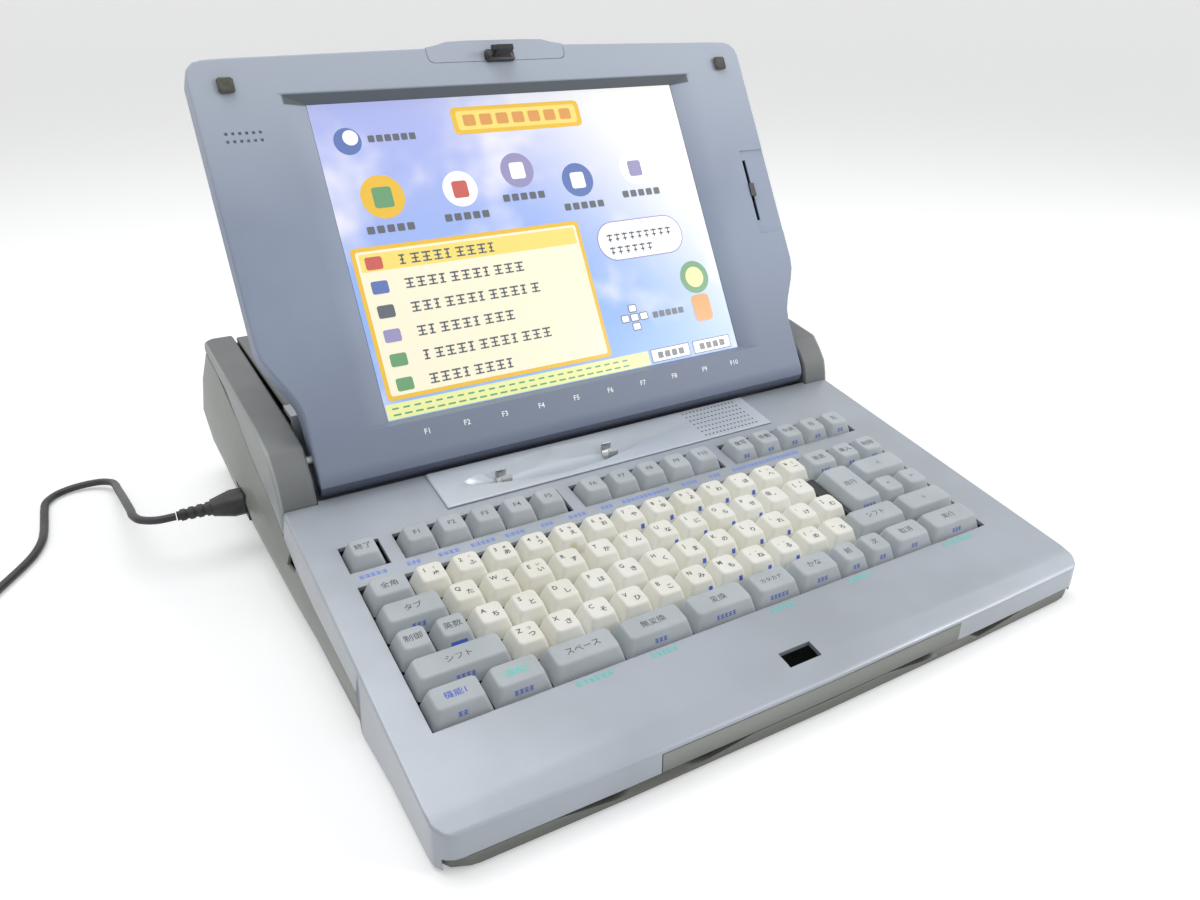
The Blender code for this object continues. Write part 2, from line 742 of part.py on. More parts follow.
def upper_ring(distance, inset, base):
    """Section of the upper shell at a distance behind the front edge."""
    y = FRONT_Y + inset + distance
    radius = max(CORNER_RADIUS - inset, CORNER_RADIUS / 4)
    half = BODY_WIDTH / 2 - inset - corner_inset(distance, radius)
    edge = DECK_EDGE_RADIUS

    def top(x, fall=0.0):
        place = bowed(x, y, distance)
        return (x, place, deck_height(place, inset) - nose_fall(distance) - fall)

    foot = half + SIDE_FLARE * (1.0 if distance > BOW_REACH else NEAR_FLARE_SHARE)
    lower = [(s * foot, bowed(s * foot, y, distance), base) for s in reversed(ACROSS_SHARES)]
    upper = [top(s * (half - edge)) for s in ACROSS_SHARES]
    part = edge * EDGE_STEP_SHARE
    left = [top(-half, edge), top(part - half, part)]
    right = [top(half - part, part), top(half, edge)]
    return lower + left + upper + right


def bulge(y):
    """Extra half width of the lower side wall at a distance along Y."""
    start = STEP_SHARE * BODY_DEPTH
    share = min(1.0, max(0.0, (y - start) / (REAR_Y / 2 - start)))
    return SIDE_BULGE * share * share * (3 - 2 * share)


def lower_ring(y, inset, base, top, half, swell, distance, flare=SIDE_FLARE):
    """Section of the lower shell: the side swells between its foot and its top."""
    def side(share):
        lift = UNDER_RADIUS * max(0.0, 1.0 - share / SIDE_SHARES[1])
        return half - inset - lift + swell * math.sin(math.pi * share) + flare * share

    low = side(0.0)
    high = side(1.0)
    lower = [(s * low, bowed(s * low, y, distance), base) for s in reversed(ACROSS_SHARES)]
    rise = [(side(s), base + (top - base) * s) for s in SIDE_SHARES[1:]]
    left = [(-x, bowed(x, y, distance), z) for x, z in rise]
    upper = [(s * high, bowed(s * high, y, distance), top) for s in ACROSS_SHARES]
    right = [(x, bowed(x, y, distance), z) for x, z in reversed(rise)]
    return lower + left + upper + right


def upper_hull(name, inset, base, step_base, rear, finish=None):
    """The upper shell from the nose back, whose foot steps up at the parting line."""
    step = STEP_SHARE * BODY_DEPTH - FRONT_Y
    corner = [CORNER_RADIUS * share for share in CORNER_SHARES]
    nose = sorted([share * NOSE_LENGTH for share, _ in NOSE_SHARES] + corner)
    rings = [upper_ring(d, inset, base) for d in nose]
    rings += [upper_ring(d - inset, inset, base) for d in (BOW_REACH, step - STEP_RUN)]
    rings += [upper_ring(step - inset, inset, step_base(step + FRONT_Y))]
    along = [s * BODY_DEPTH for s, _ in SEAM_SHARES if step + FRONT_Y < s * BODY_DEPTH < rear]
    rings += [upper_ring(y - FRONT_Y - inset, inset, step_base(y)) for y in along + [rear]]
    return loft(name, rings, finish, columns=len(ACROSS_SHARES))


def lower_hull(name, inset, base, raise_top, finish=None):
    """The lower shell: a shallow tray in front, then side walls up to the parting line."""
    step = STEP_SHARE * BODY_DEPTH + GAP
    tray_half = BODY_WIDTH / 2 - CASE_WALL - GAP
    tray_top = LIP_HEIGHT - GAP + raise_top
    rings = []
    for share in TRAY_CORNER_SHARES:
        distance = share * CORNER_RADIUS
        half = tray_half - corner_inset(distance, CORNER_RADIUS)
        rings.append(lower_ring(
            FRONT_Y + distance + inset, inset, base, tray_top, half, 0.0, distance, 0.0))
    for y in (FRONT_Y + BOW_REACH, step + inset):
        rings.append(lower_ring(y, inset, base, tray_top, tray_half, 0.0, BOW_REACH, 0.0))
    places = [s * BODY_DEPTH for s, _ in SEAM_SHARES if step < s * BODY_DEPTH < REAR_Y / 2]
    places = [step + STEP_RUN + inset] + places + [REAR_Y / 2, REAR_Y * REAR_RING_SHARE]
    corners = [REAR_Y - inset - REAR_CORNER_RADIUS * s for s in REAR_CORNER_SHARES]
    for y in places + corners:
        half = BODY_WIDTH / 2 - corner_inset(REAR_Y - inset - y, REAR_CORNER_RADIUS)
        rings.append(lower_ring(
            y, inset, base, seam_height(y) + raise_top, half, bulge(y), BOW_REACH))
    return loft(name, rings, finish, columns=len(ACROSS_SHARES))


def side_x(y, z):
    """Distance of the lower shell's outer side from the middle, at a place on it."""
    share = (z - FLOOR_BOTTOM) / (seam_height(y) - FLOOR_BOTTOM)
    return BODY_WIDTH / 2 + bulge(y) * math.sin(math.pi * share) + SIDE_FLARE * share


# Lower shell and what stands on its floor

def standoffs(frame_seats):
    """Pads on the floor under the boards, drive and printer frame."""
    half = STANDOFF_SIZE / 2
    low, high = FLOOR_TOP - GAP, FLOOR_TOP + STANDOFF
    return [((x - half, y - half, low), (x + half, y + half, high)) for x, y in frame_seats]


def seats():
    inset = STANDOFF_SIZE
    regions = (
        (BOARD_LEFT, BOARD_FRONT, BOARD_RIGHT, BOARD_REAR),
        (SUPPLY_LEFT, SUPPLY_FRONT, SUPPLY_RIGHT, SUPPLY_REAR),
        (FRAME_LEFT, FRAME_FRONT, FRAME_RIGHT, FRAME_REAR),
        (drive_left(), DRIVE_FRONT, drive_left() + DRIVE_LENGTH, DRIVE_FRONT + DRIVE_WIDTH),
    )
    for left, front, right, rear in regions:
        for x in (left + inset, right - inset):
            for y in (front + inset, rear - inset):
                yield x, y


def drive_left():
    return side_x(DRIVE_FRONT, drive_bottom()) - CASE_WALL - DRIVE_FACE_GAP - DRIVE_LENGTH


def drive_bottom():
    return FLOOR_TOP + STANDOFF + GAP


def drive_middle():
    return drive_bottom() + DISK_SLOT_RAISE


def handle_guides():
    corners = []
    half = HANDLE_ARM_WIDTH / 2 + GUIDE_WALL + RUNNING
    for side in (-1, 1):
        x = side * HANDLE_ARM_CENTRE
        low = (x - half, FRONT_Y + GUIDE_SETBACK, FLOOR_TOP - GAP)
        high = (x + half, FRONT_Y + GUIDE_SETBACK + GUIDE_LENGTH, arm_bottom() + HANDLE_ARM_HEIGHT / 2)
        corners.append((low, high))
    return corners


def arm_bottom():
    return LIP_HEIGHT + GAP


def guide_channels():
    corners = []
    half = HANDLE_ARM_WIDTH / 2 + RUNNING
    for side in (-1, 1):
        x = side * HANDLE_ARM_CENTRE
        low = (x - half, FRONT_Y, arm_bottom() - GAP)
        high = (x + half, FRONT_Y + GUIDE_SETBACK + GUIDE_LENGTH + CUT, HANDLE_TOP)
        corners.append((low, high))
    return corners


def finger_recess(name, side):
    """A crescent cut into the front lip, under one end of the handle."""
    xs = np.linspace(-1.0, 1.0, FINGER_POINTS)
    top = LIP_HEIGHT + CUT
    lower = [(side * HANDLE_HALF_WIDTH + s * FINGER_HALF_LENGTH,
              LIP_HEIGHT - FINGER_HEIGHT * (1 - abs(s) ** FINGER_POWER_SHARE)) for s in xs]
    points = lower + [(lower[-1][0], top), (lower[0][0], top)]
    return outline(name, points, "XZ", FRONT_Y - CUT, FRONT_Y + FINGER_DEPTH)


def key_posts():
    """Posts that carry the keyboard plate, square to the deck."""
    left = FIRST_COLUMN_SHARE * KEY_PITCH
    right = left + KEYBOARD_PITCHES_SHARE * KEY_PITCH
    front = LAST_ROW_SHARE * KEY_PITCH
    rear = (FUNCTION_ROW_SHARE + 0.5) * KEY_PITCH
    top = -(PLATE_DEPTH + PLATE_THICKNESS + GAP)
    corners = []
    for x in (left, right - POST_SIZE):
        for y in (front, rear - POST_SIZE):
            world = KEY_ORIGIN.z + (y + POST_SIZE) * math.sin(DECK_SLOPE)
            foot = -(world - FLOOR_TOP + GAP) / math.cos(DECK_SLOPE)
            corners.append(((x, y, foot), (x + POST_SIZE, y + POST_SIZE, top)))
    return boxes("key_posts", corners, frame=DECK)


def make_bottom_case():
    case = lower_hull("bottom_case", 0.0, FLOOR_BOTTOM, 0.0, "silver_plastic")
    cut(case, lower_hull("bottom_hollow", CASE_WALL, FLOOR_TOP, CUT))
    unite(case, boxes("floor_pads", standoffs(seats())), boxes("guide_blocks", handle_guides()), key_posts())
    cut(case, boxes("guide_channels", guide_channels()))
    cut(case, finger_recess("finger_recess_left", -1), finger_recess("finger_recess_right", 1))
    cut(case, opening_inlet(), opening_drive(), opening_switch(), opening_lock(), opening_vents())
    cut(case, stem_room())
    return case


def stem_room():
    """Room for the pressed stems over the cross wall of the lower shell."""
    step = STEP_SHARE * BODY_DEPTH
    pressed = -CAP_HEIGHT + WEB_BITE - WEB_THICKNESS - STEM_LENGTH - KEY_TRAVEL
    down = row_y(STEM_WALL_ROW) - STEM_RADIUS
    low = KEY_ORIGIN.z + down * math.sin(DECK_SLOPE) + pressed * math.cos(DECK_SLOPE) - GAP * 2
    left = KEY_ORIGIN.x + FIRST_COLUMN_SHARE * KEY_PITCH - PLATE_MARGIN
    right = left + KEYBOARD_PITCHES_SHARE * KEY_PITCH + 2 * PLATE_MARGIN
    return box("stem_room", (left, step - CASE_WALL, low), (right, step + CASE_WALL * 3, KEY_ORIGIN.z))


def opening_inlet():
    half, tall = INLET_WIDTH / 2 + GAP, INLET_HEIGHT / 2 + GAP
    low = (-BODY_WIDTH / 2 - SIDE_BULGE - CUT, INLET_Y - half, INLET_Z - tall)
    high = (-BODY_WIDTH / 2 + SIDE_BULGE, INLET_Y + half, INLET_Z + tall)
    return box("inlet_hole", low, high)


def opening_drive():
    middle = DRIVE_FRONT + DRIVE_WIDTH / 2
    half = DISK_WIDTH / 2 + RUNNING
    x = BODY_WIDTH / 2
    slot = ((x - SIDE_BULGE, middle - half, drive_middle() - DISK_SLOT / 2),
            (x + SIDE_BULGE + CUT, middle + half, drive_middle() + DISK_SLOT / 2))
    y, z = eject_centre()
    wide, tall = EJECT_WIDTH / 2 + RUNNING, EJECT_HEIGHT / 2 + RUNNING
    button = ((x - SIDE_BULGE, y - wide, z - tall), (x + SIDE_BULGE + CUT, y + wide, z + tall))
    return boxes("drive_openings", [slot, button])


def eject_centre():
    y = DRIVE_FRONT + DRIVE_WIDTH - EJECT_WIDTH
    return y, drive_middle() - DISK_SLOT / 2 - EJECT_HEIGHT


def opening_switch():
    half = SWITCH_SIZE / 2 + RUNNING
    low = (BODY_WIDTH / 2 - SIDE_BULGE, SWITCH_Y - half, SWITCH_HEIGHT - half)
    high = (BODY_WIDTH / 2 + SIDE_BULGE + CUT, SWITCH_Y + half, SWITCH_HEIGHT + half)
    return box("switch_hole", low, high)


def opening_lock():
    z = seam_height(LOCK_Y) - LOCK_HEIGHT
    low = (-BODY_WIDTH / 2 - SIDE_BULGE, LOCK_Y - LOCK_LENGTH / 2, z)
    high = (-BODY_WIDTH / 2 + SIDE_BULGE, LOCK_Y + LOCK_LENGTH / 2, z + LOCK_HEIGHT + CUT)
    return box("lock_slot", low, high)


def opening_vents():
    start = -(VENT_COUNT - 1) * VENT_PITCH / 2
    corners = []
    for i in range(VENT_COUNT):
        x = start + i * VENT_PITCH
        low = (x - VENT_WIDTH / 2, REAR_Y - CASE_WALL - CUT, VENT_BOTTOM)
        corners.append((low, (x + VENT_WIDTH / 2, REAR_Y + CUT, VENT_TOP)))
    return boxes("rear_vents", corners)


# Upper shell

def trough():
    """A round channel in which the lid's toe turns, closed up to the printer cover."""
    centre = (HINGE.y, HINGE.z)
    inner = arc(centre, TROUGH_RADIUS, TROUGH_START, TROUGH_END, TROUGH_POINTS)
    outer = arc(centre, TROUGH_RADIUS + CASE_WALL, TROUGH_START, TROUGH_END, TROUGH_POINTS)
    front = max(inner[-1][0], STRIP_FRONT)
    under = REAR_HEIGHT - COVER_THICKNESS
    rear = COVER_FRONT - GAP
    strip = [(front, REAR_HEIGHT), (rear, REAR_HEIGHT), (rear, under), (front + CASE_WALL, under)]
    points = inner + strip + outer[::-1]
    half = CHEEK_INNER - TROUGH_GAP
    return outline("lid_trough", points, "YZ", -half, half)


def make_top_case():
    rear = HINGE.y - TROUGH_RADIUS / 2
    foot = FLOOR_BOTTOM + GAP
    case = upper_hull("top_case", 0.0, foot, lambda y: seam_height(y) + GAP, rear, "silver_plastic")
    cut(case, upper_hull("top_hollow", CASE_WALL, -CUT, lambda y: -CUT, rear + CUT))
    lip_half = BODY_WIDTH / 2 - CASE_WALL
    cut(case, box("lip_space", (-lip_half, FRONT_Y - CUT, -CUT), (lip_half, FRONT_Y + BOW_REACH, LIP_HEIGHT)))
    front, inner = CHEEK_FRONT - GAP, CHEEK_INNER - GAP
    cut(case, box("cheek_space_left", (-BODY_WIDTH, front, 0.0), (-inner, REAR_Y, REAR_HEIGHT)))
    cut(case, box("cheek_space_right", (inner, front, 0.0), (BODY_WIDTH, REAR_Y, REAR_HEIGHT)))
    unite(case, trough())
    profile = [(-BODY_WIDTH / 2, TROUGH_RADIUS), (BODY_WIDTH / 2, TROUGH_RADIUS)]
    cut(case, turned("trough_bore", profile, axis="X", at=HINGE, sides=ROUND_SIDES * 2))
    cut(case, key_wells(), latch_slot(), tray_hole(), handle_hole())
    return case


def key_wells():
    left = FIRST_COLUMN_SHARE * KEY_PITCH - WELL_MARGIN
    right = left + KEYBOARD_PITCHES_SHARE * KEY_PITCH + 2 * WELL_MARGIN
    low, high = -KEY_PROUD - CASE_WALL - CUT * 2, CUT
    front = LAST_ROW_SHARE * KEY_PITCH - WELL_MARGIN
    wells = [((left, front, low), (right, KEY_PITCH / 2 + WELL_MARGIN, high))]
    middle = FUNCTION_ROW_SHARE * KEY_PITCH
    for start, count in (well for wells in FUNCTION_GROUP_SHARES.values() for well in wells):
        x = start * KEY_PITCH - WELL_MARGIN
        wide = count * KEY_PITCH + 2 * WELL_MARGIN
        tall = KEY_PITCH / 2 + WELL_MARGIN
        wells.append(((x, middle - tall, low), (x + wide, middle + tall, high)))
    return boxes("key_wells", wells, frame=DECK)


def latch_slot():
    y = HINGE.y - LATCH_REACH * math.cos(DECK_SLOPE)
    z = deck_height(y)
    half = SLOT_WIDTH / 2
    low = (SLOT_CENTRE_X - half, y - SLOT_LENGTH / 2, z - CASE_WALL * 2)
    return box("latch_slot", low, (SLOT_CENTRE_X + half, y + SLOT_LENGTH / 2, z + CUT))


def handle_hole():
    half = HANDLE_HALF_WIDTH
    low = (-half, FRONT_Y - CUT, LIP_HEIGHT - CUT)
    return box("handle_hole", low, (half, FRONT_Y + GUIDE_SETBACK, HANDLE_TOP))


# Pen tray panel and clips on the rear deck

def tray_outline(grow, share=1.0):
    """A pointed oval: its half width follows a power of the distance from its middle."""
    centre_x = TRAY_CENTRE_SHARE * KEY_PITCH
    centre_y = (PANEL_FRONT + PANEL_REAR) / 2
    along = np.sin(np.linspace(-math.pi / 2, math.pi / 2, TRAY_POINTS))
    half_length = TRAY_HALF_LENGTH * (share + 1) / 2 + grow
    half_width = TRAY_HALF_WIDTH * share + grow
    reach = half_width * (1 - np.abs(along) ** TRAY_POWER_SHARE)
    front = [(centre_x + half_length * s, centre_y - r) for s, r in zip(along.tolist(), reach.tolist())]
    back = [(centre_x + half_length * s, centre_y + r) for s, r in zip(along.tolist(), reach.tolist())]
    return front + back[::-1][1:-1]


def tray_rings(grow, top, depth):
    floor = [(x, y, depth) for x, y in tray_outline(grow, TRAY_FLOOR_SHARE)]
    rim = [(x, y, top) for x, y in tray_outline(grow)]
    return [rim, floor]


def tray_hole():
    low = -KEY_PROUD - CASE_WALL - CUT
    rings = [[(x, y, z) for x, y in tray_outline(TRAY_WALL + GAP * 2)] for z in (CUT, low)]
    return loft("tray_hole", rings, frame=DECK)


def make_pen_tray():
    left, right = PANEL_LEFT_SHARE * KEY_PITCH, PANEL_RIGHT_SHARE * KEY_PITCH
    low = -KEY_PROUD + GAP
    high = low + PANEL_THICKNESS
    edge = PANEL_EDGE
    rings = []
    for z, inset in ((low, 0.0), (high - edge / 2, 0.0), (high, edge)):
        rings.append([
            (left + inset, PANEL_FRONT + inset, z), (right - inset, PANEL_FRONT + inset, z),
            (right - inset, PANEL_REAR, z), (left + inset, PANEL_REAR, z)])
    tray = loft("pen_tray", rings, "silver_plastic", DECK)
    bowl = tray_rings(TRAY_WALL, high - edge / 2, -KEY_PROUD - TRAY_DEPTH - TRAY_WALL)
    unite(tray, loft("tray_bowl", bowl, frame=DECK))
    cut(tray, loft("tray_hollow", tray_rings(0.0, high + GAP, -KEY_PROUD - TRAY_DEPTH), frame=DECK))
    return tray


def make_pen_clips():
    y = (PANEL_FRONT + PANEL_REAR) / 2
    z = -KEY_PROUD - TRAY_DEPTH + CLIP_RADIUS + GAP
    start = math.pi / 2 + CLIP_OPENING / 2
    end = start + 2 * math.pi - CLIP_OPENING
    outer = arc((y, z), CLIP_RADIUS, start, end, CLIP_POINTS)
    inner = arc((y, z), CLIP_RADIUS - CLIP_THICKNESS, end, start, CLIP_POINTS)
    for side, share in zip(("left", "right"), CLIP_SHARES):
        x = share * KEY_PITCH
        left, right = x - CLIP_WIDTH / 2, x + CLIP_WIDTH / 2
        outline("pen_clip_" + side, outer + inner, "YZ", left, right, "steel", DECK)


# Keys

def cap_rings(left, right, front, back):
    """Sections of one cap: foot and top, each with cut corners."""
    rings = []
    for z, share in ((-CAP_HEIGHT, 0.0), (0.0, 1.0)):
        x0, x1 = left + CAP_SIDE_DRAW * share, right - CAP_SIDE_DRAW * share
        y0, y1 = front + CAP_FRONT_DRAW * share, back - CAP_BACK_DRAW * share
        c = CAP_CHAMFER
        rings.append([
            (x0 + c, y0, z), (x1 - c, y0, z), (x1, y0 + c, z), (x1, y1 - c, z),
            (x1 - c, y1, z), (x0 + c, y1, z), (x0, y1 - c, z), (x0, y0 + c, z)])
    return rings


def row_y(row):
    return -row * KEY_PITCH


def make_key_group(name, keys, finish, spine=None):
    """Caps of one group on a web, with two stems that slide in the keyboard plate.

    Each key is (left edge, width, y of its first row, rows covered), all but y in pitches.
    """
    bm = bmesh.new()
    centres = {}
    for start, width, y, rows in keys:
        left = start * KEY_PITCH + KEY_SPACE / 2
        right = (start + width) * KEY_PITCH - KEY_SPACE / 2
        back = y + KEY_PITCH / 2 - KEY_SPACE / 2
        front = y - (rows - 0.5) * KEY_PITCH + KEY_SPACE / 2
        close_rings(bm, [[bm.verts.new(p) for p in ring] for ring in cap_rings(left, right, front, back)])
        centres.setdefault(y, []).append((left + right) / 2)
    group = new_piece(name, mesh_from(bm, name), finish, DECK)
    top = -CAP_HEIGHT + WEB_BITE
    low = top - WEB_THICKNESS
    half = WEB_WIDTH / 2
    webs = []
    for y, xs in centres.items():
        reach = xs + ([spine] if spine is not None else [])
        webs.append(((min(reach) - half, y - half, low), (max(reach) + half, y + half, top)))
    unite(group, boxes(name + "_web", webs, frame=DECK))
    if spine is not None:
        ys = list(centres)
        unite(group, box(name + "_spine", (spine - half / 2, min(ys) - half / 2, low - GAP),
                         (spine + half / 2, max(ys) + half / 2, top - GAP), frame=DECK))
    stems = stem_places(centres, spine)
    unite(group, stem_solids(name + "_stems", stems, STEM_RADIUS, low + WEB_THICKNESS / 2, low - STEM_LENGTH))
    return stems


def stem_places(centres, spine):
    if spine is not None:
        return [(spine, y) for y in (min(centres), max(centres))]
    y, xs = next(iter(centres.items()))
    return [(x, y) for x in sorted({min(xs), max(xs)})]


def stem_solids(name, places, radius, top, bottom):
    bm = bmesh.new()
    for x, y in places:
        made = bmesh.ops.create_cone(
            bm, cap_ends=True, segments=STEM_SIDES, radius1=radius, radius2=radius, depth=top - bottom)
        bmesh.ops.translate(bm, vec=(x, y, (top + bottom) / 2), verts=made["verts"])
    return new_piece(name, mesh_from(bm, name), None, DECK)


def make_keys():
    stems = []
    names = ("keys_digits", "keys_upper", "keys_home", "keys_lower")
    for row, (name, (start, count)) in enumerate(zip(names, LETTER_ROW_SHARES)):
        keys = [(start + i, 1.0, row_y(row), 1) for i in range(count)]
        stems += make_key_group(name, keys, "light_key")
    for name, shares in KEY_GROUP_SHARES.items():
        keys = [(start, width, row_y(row), rows) for start, width, row, rows in shares]
        spine = SPINE_SHARES.get(name)
        stems += make_key_group(name, keys, "grey_key", None if spine is None else spine * KEY_PITCH)
    for name, wells in FUNCTION_GROUP_SHARES.items():
        keys = []
        for start, count in wells:
            keys += [(start + i, 1.0, FUNCTION_ROW_SHARE * KEY_PITCH, 1) for i in range(count)]
        stems += make_key_group(name, keys, "grey_key")
    return stems


def make_keyboard_plate(stems):
    left = FIRST_COLUMN_SHARE * KEY_PITCH - PLATE_MARGIN
    right = left + KEYBOARD_PITCHES_SHARE * KEY_PITCH + 2 * PLATE_MARGIN
    front = LAST_ROW_SHARE * KEY_PITCH - PLATE_MARGIN
    rear = (FUNCTION_ROW_SHARE + 0.5) * KEY_PITCH + PLATE_MARGIN
    low = -PLATE_DEPTH - PLATE_THICKNESS
    plate = box("keyboard_plate", (left, front, low), (right, rear, -PLATE_DEPTH), "steel", DECK)
    fillers = []
    for start, end, row in FILLER_SHARES:
        y = row_y(row)
        fillers.append((
            (start * KEY_PITCH + FILLER_SPACE, y - KEY_PITCH / 2 + FILLER_SPACE, low + PLATE_THICKNESS / 2),
            (end * KEY_PITCH - FILLER_SPACE, y + KEY_PITCH / 2 - FILLER_SPACE, -KEY_PROUD)))
    unite(plate, boxes("plate_fillers", fillers, frame=DECK))
    cut(plate, stem_solids("stem_holes", stems, STEM_RADIUS + RUNNING, -PLATE_DEPTH + CUT, low - CUT))
    return plate


def make_speaker():
    top = -KEY_PROUD - CASE_WALL - GAP
    profile = [
        (top, SPEAKER_RADIUS), (top - SPEAKER_DEPTH / 3, SPEAKER_RADIUS),
        (top - SPEAKER_DEPTH, SPEAKER_MAGNET_RADIUS),
        (top - SPEAKER_DEPTH - SPEAKER_MAGNET_DEPTH, SPEAKER_MAGNET_RADIUS),
    ]
    turned("speaker", profile, "black_plastic", DECK, at=(SPEAKER_SHARE * KEY_PITCH, SPEAKER_SETBACK, 0.0))


# Cheeks

def cheek_outline(inset, drop, rear_inset=0.0):
    """Side view of a cheek: rounded front, long top, and the parting line below."""
    slant = inset * math.cos(math.pi / 4)
    front = [(CHEEK_FRONT + back * CHEEK_CURVE + slant, share * REAR_HEIGHT - slant)
             for back, share in CHEEK_FRONT_SHARES]
    top = [(share * BODY_DEPTH - inset, high * REAR_HEIGHT - inset) for share, high in CHEEK_TOP_SHARES[:-1]]
    top.append((REAR_Y - rear_inset, CHEEK_TOP_SHARES[-1][1] * REAR_HEIGHT - inset))
    along = [s * BODY_DEPTH for s, _ in SEAM_SHARES if CHEEK_FRONT + CUT < s * BODY_DEPTH < REAR_Y]
    foot = [REAR_Y - rear_inset] + along[::-1] + [CHEEK_FRONT + inset]
    return front + top + [(y, seam_height(y) + GAP - drop) for y in foot]


def make_cheek(name, side):
    outer = BODY_WIDTH / 2 + SIDE_FLARE
    low, high = sorted((side * CHEEK_INNER, side * outer))
    cheek = outline(name, cheek_outline(0.0, 0.0), "YZ", low, high, "grey_plastic")
    bevel(cheek, CHEEK_EDGE, 1)
    wall = CASE_WALL
    centre = (side * (outer - REAR_CORNER_RADIUS), REAR_Y - REAR_CORNER_RADIUS)
    start = 0.0 if side > 0 else math.pi
    corner = arc(centre, REAR_CORNER_RADIUS, start, math.pi / 2, 5)
    beyond = side * (outer + CUT)
    corner += [(centre[0], REAR_Y + CUT), (beyond, REAR_Y + CUT), (beyond, centre[1])]
    cutters = [outline(name + "_corner", corner, "XY", REAR_HEIGHT / 3, REAR_HEIGHT + CUT)]
    rear = wall + REAR_CORNER_RADIUS / 2
    hollow = cheek_outline(wall, REAR_HEIGHT, rear)
    cutters.append(outline(name + "_hollow", hollow, "YZ", low + wall, high - wall))
    reach = [(-CUT - wall, HINGE_PIN_RADIUS + GAP), (wall + CUT, HINGE_PIN_RADIUS + GAP)]
    at = (side * (CHEEK_INNER + wall / 2), HINGE.y, HINGE.z)
    cutters.append(turned(name + "_pin_hole", reach, axis="X", at=at, sides=SMALL_SIDES))
    y, z = cover_axis()
    reach = [(-CUT - wall, COVER_PIN_RADIUS + RUNNING), (wall + CUT, COVER_PIN_RADIUS + RUNNING)]
    at = (side * (CHEEK_INNER + wall / 2), y, z)
    cutters.append(turned(name + "_cover_hole", reach, axis="X", at=at, sides=SMALL_SIDES))
    cut(cheek, *cutters, solver="MANIFOLD")
    return cheek


def cover_axis():
    return REAR_Y - COVER_AXIS_SETBACK, REAR_HEIGHT - COVER_THICKNESS - COVER_AXIS_DROP


def make_hinge(name, side):
    """A pin fixed in a bracket behind the cheek's inner wall, on which the lid turns."""
    inner = CHEEK_INNER + CASE_WALL + GAP
    low, high = sorted((side * inner, side * (inner + HINGE_BRACKET_THICKNESS)))
    corner = (low, HINGE.y - HINGE_PIN_RADIUS - GAP, HINGE.z - HINGE_BRACKET_DROP)
    hinge = box(name, corner, (high, HINGE.y + HINGE_BRACKET_REACH, HINGE.z), "steel")
    start = side * (LID_NECK_HALF_WIDTH - HINGE_PIN_INNER)
    end = side * (inner + HINGE_BRACKET_THICKNESS / 2)
    profile = [(min(start, end), HINGE_PIN_RADIUS), (max(start, end), HINGE_PIN_RADIUS)]
    unite(hinge, turned(name + "_pin", profile, axis="X", at=HINGE, sides=SMALL_SIDES))


# Printer cover, hinged at the back

def make_printer_cover():
    y_axis, z_axis = cover_axis()
    axis = new_frame("printer_cover_axis", (0.0, y_axis, z_axis))
    half = CHEEK_INNER - COVER_SIDE_GAP
    top = REAR_HEIGHT - z_axis
    low = (-half, COVER_FRONT - y_axis, top - COVER_THICKNESS)
    high = (half, REAR_Y - COVER_REAR_SETBACK - y_axis, top)
    cover = bevel(box("printer_cover", low, high, "grey_plastic", axis), COVER_THICKNESS / 5, 1)
    cut(cover, box("paper_slot", (PAPER_SLOT_LEFT, PAPER_SLOT_Y - y_axis, low[2] - CUT),
                   (PAPER_SLOT_RIGHT, PAPER_SLOT_Y + PAPER_SLOT_LENGTH - y_axis, top + CUT), frame=axis))
    lugs = []
    wide = COVER_LUG_WIDTH / 2
    for side in (-1, 1):
        x0, x1 = sorted((side * (half - COVER_LUG_LENGTH), side * half))
        lugs.append(((x0, -wide, -COVER_PIN_RADIUS - GAP), (x1, wide, top - COVER_THICKNESS / 2)))
    unite(cover, boxes("cover_lugs", lugs, frame=axis))
    for side in (-1, 1):
        start, end = side * (half - COVER_LUG_LENGTH / 2), side * (half + COVER_PIN_LENGTH)
        profile = [(min(start, end), COVER_PIN_RADIUS), (max(start, end), COVER_PIN_RADIUS)]
        unite(cover, turned("cover_pin_%d" % (side + 1), profile, axis="X", frame=axis, sides=SMALL_SIDES))
    return cover


# Printer inside the rear of the base

def make_printer_frame():
    sheet = FRAME_SHEET
    points = [
        (FRAME_LEFT, FRAME_FLOOR), (FRAME_RIGHT, FRAME_FLOOR), (FRAME_RIGHT, FRAME_TOP),
        (FRAME_RIGHT - sheet, FRAME_TOP), (FRAME_RIGHT - sheet, FRAME_FLOOR + sheet),
        (FRAME_LEFT + sheet, FRAME_FLOOR + sheet), (FRAME_LEFT + sheet, FRAME_TOP), (FRAME_LEFT, FRAME_TOP),
    ]
    frame = outline("printer_frame", points, "XZ", FRAME_FRONT, FRAME_REAR, "steel")
    reach = (FRAME_LEFT - CUT, FRAME_RIGHT + CUT)
    y, z = motor_place()
    for name, radius, at in (
        ("platen_bore", PLATEN_SHAFT_RADIUS + RUNNING, (PLATEN_Y, PLATEN_Z)),
        ("rail_bore", RAIL_RADIUS + GAP, (RAIL_Y, RAIL_Z)),
    ):
        profile = [(reach[0], radius), (reach[1], radius)]
        bore = turned(name, profile, axis="X", at=(0.0, *at), sides=SMALL_SIDES)
        cut(frame, bore)
    radius = MOTOR_SHAFT_RADIUS + RUNNING
    bore = turned("motor_bore", [(FRAME_RIGHT - CUT * 2, radius), (FRAME_RIGHT + CUT, radius)],
                  axis="X", at=(0.0, y, z), sides=SMALL_SIDES)
    cut(frame, bore)


def pinion_pitch_radius():
    return GEAR_PITCH_RADIUS * PINION_TEETH / GEAR_TEETH


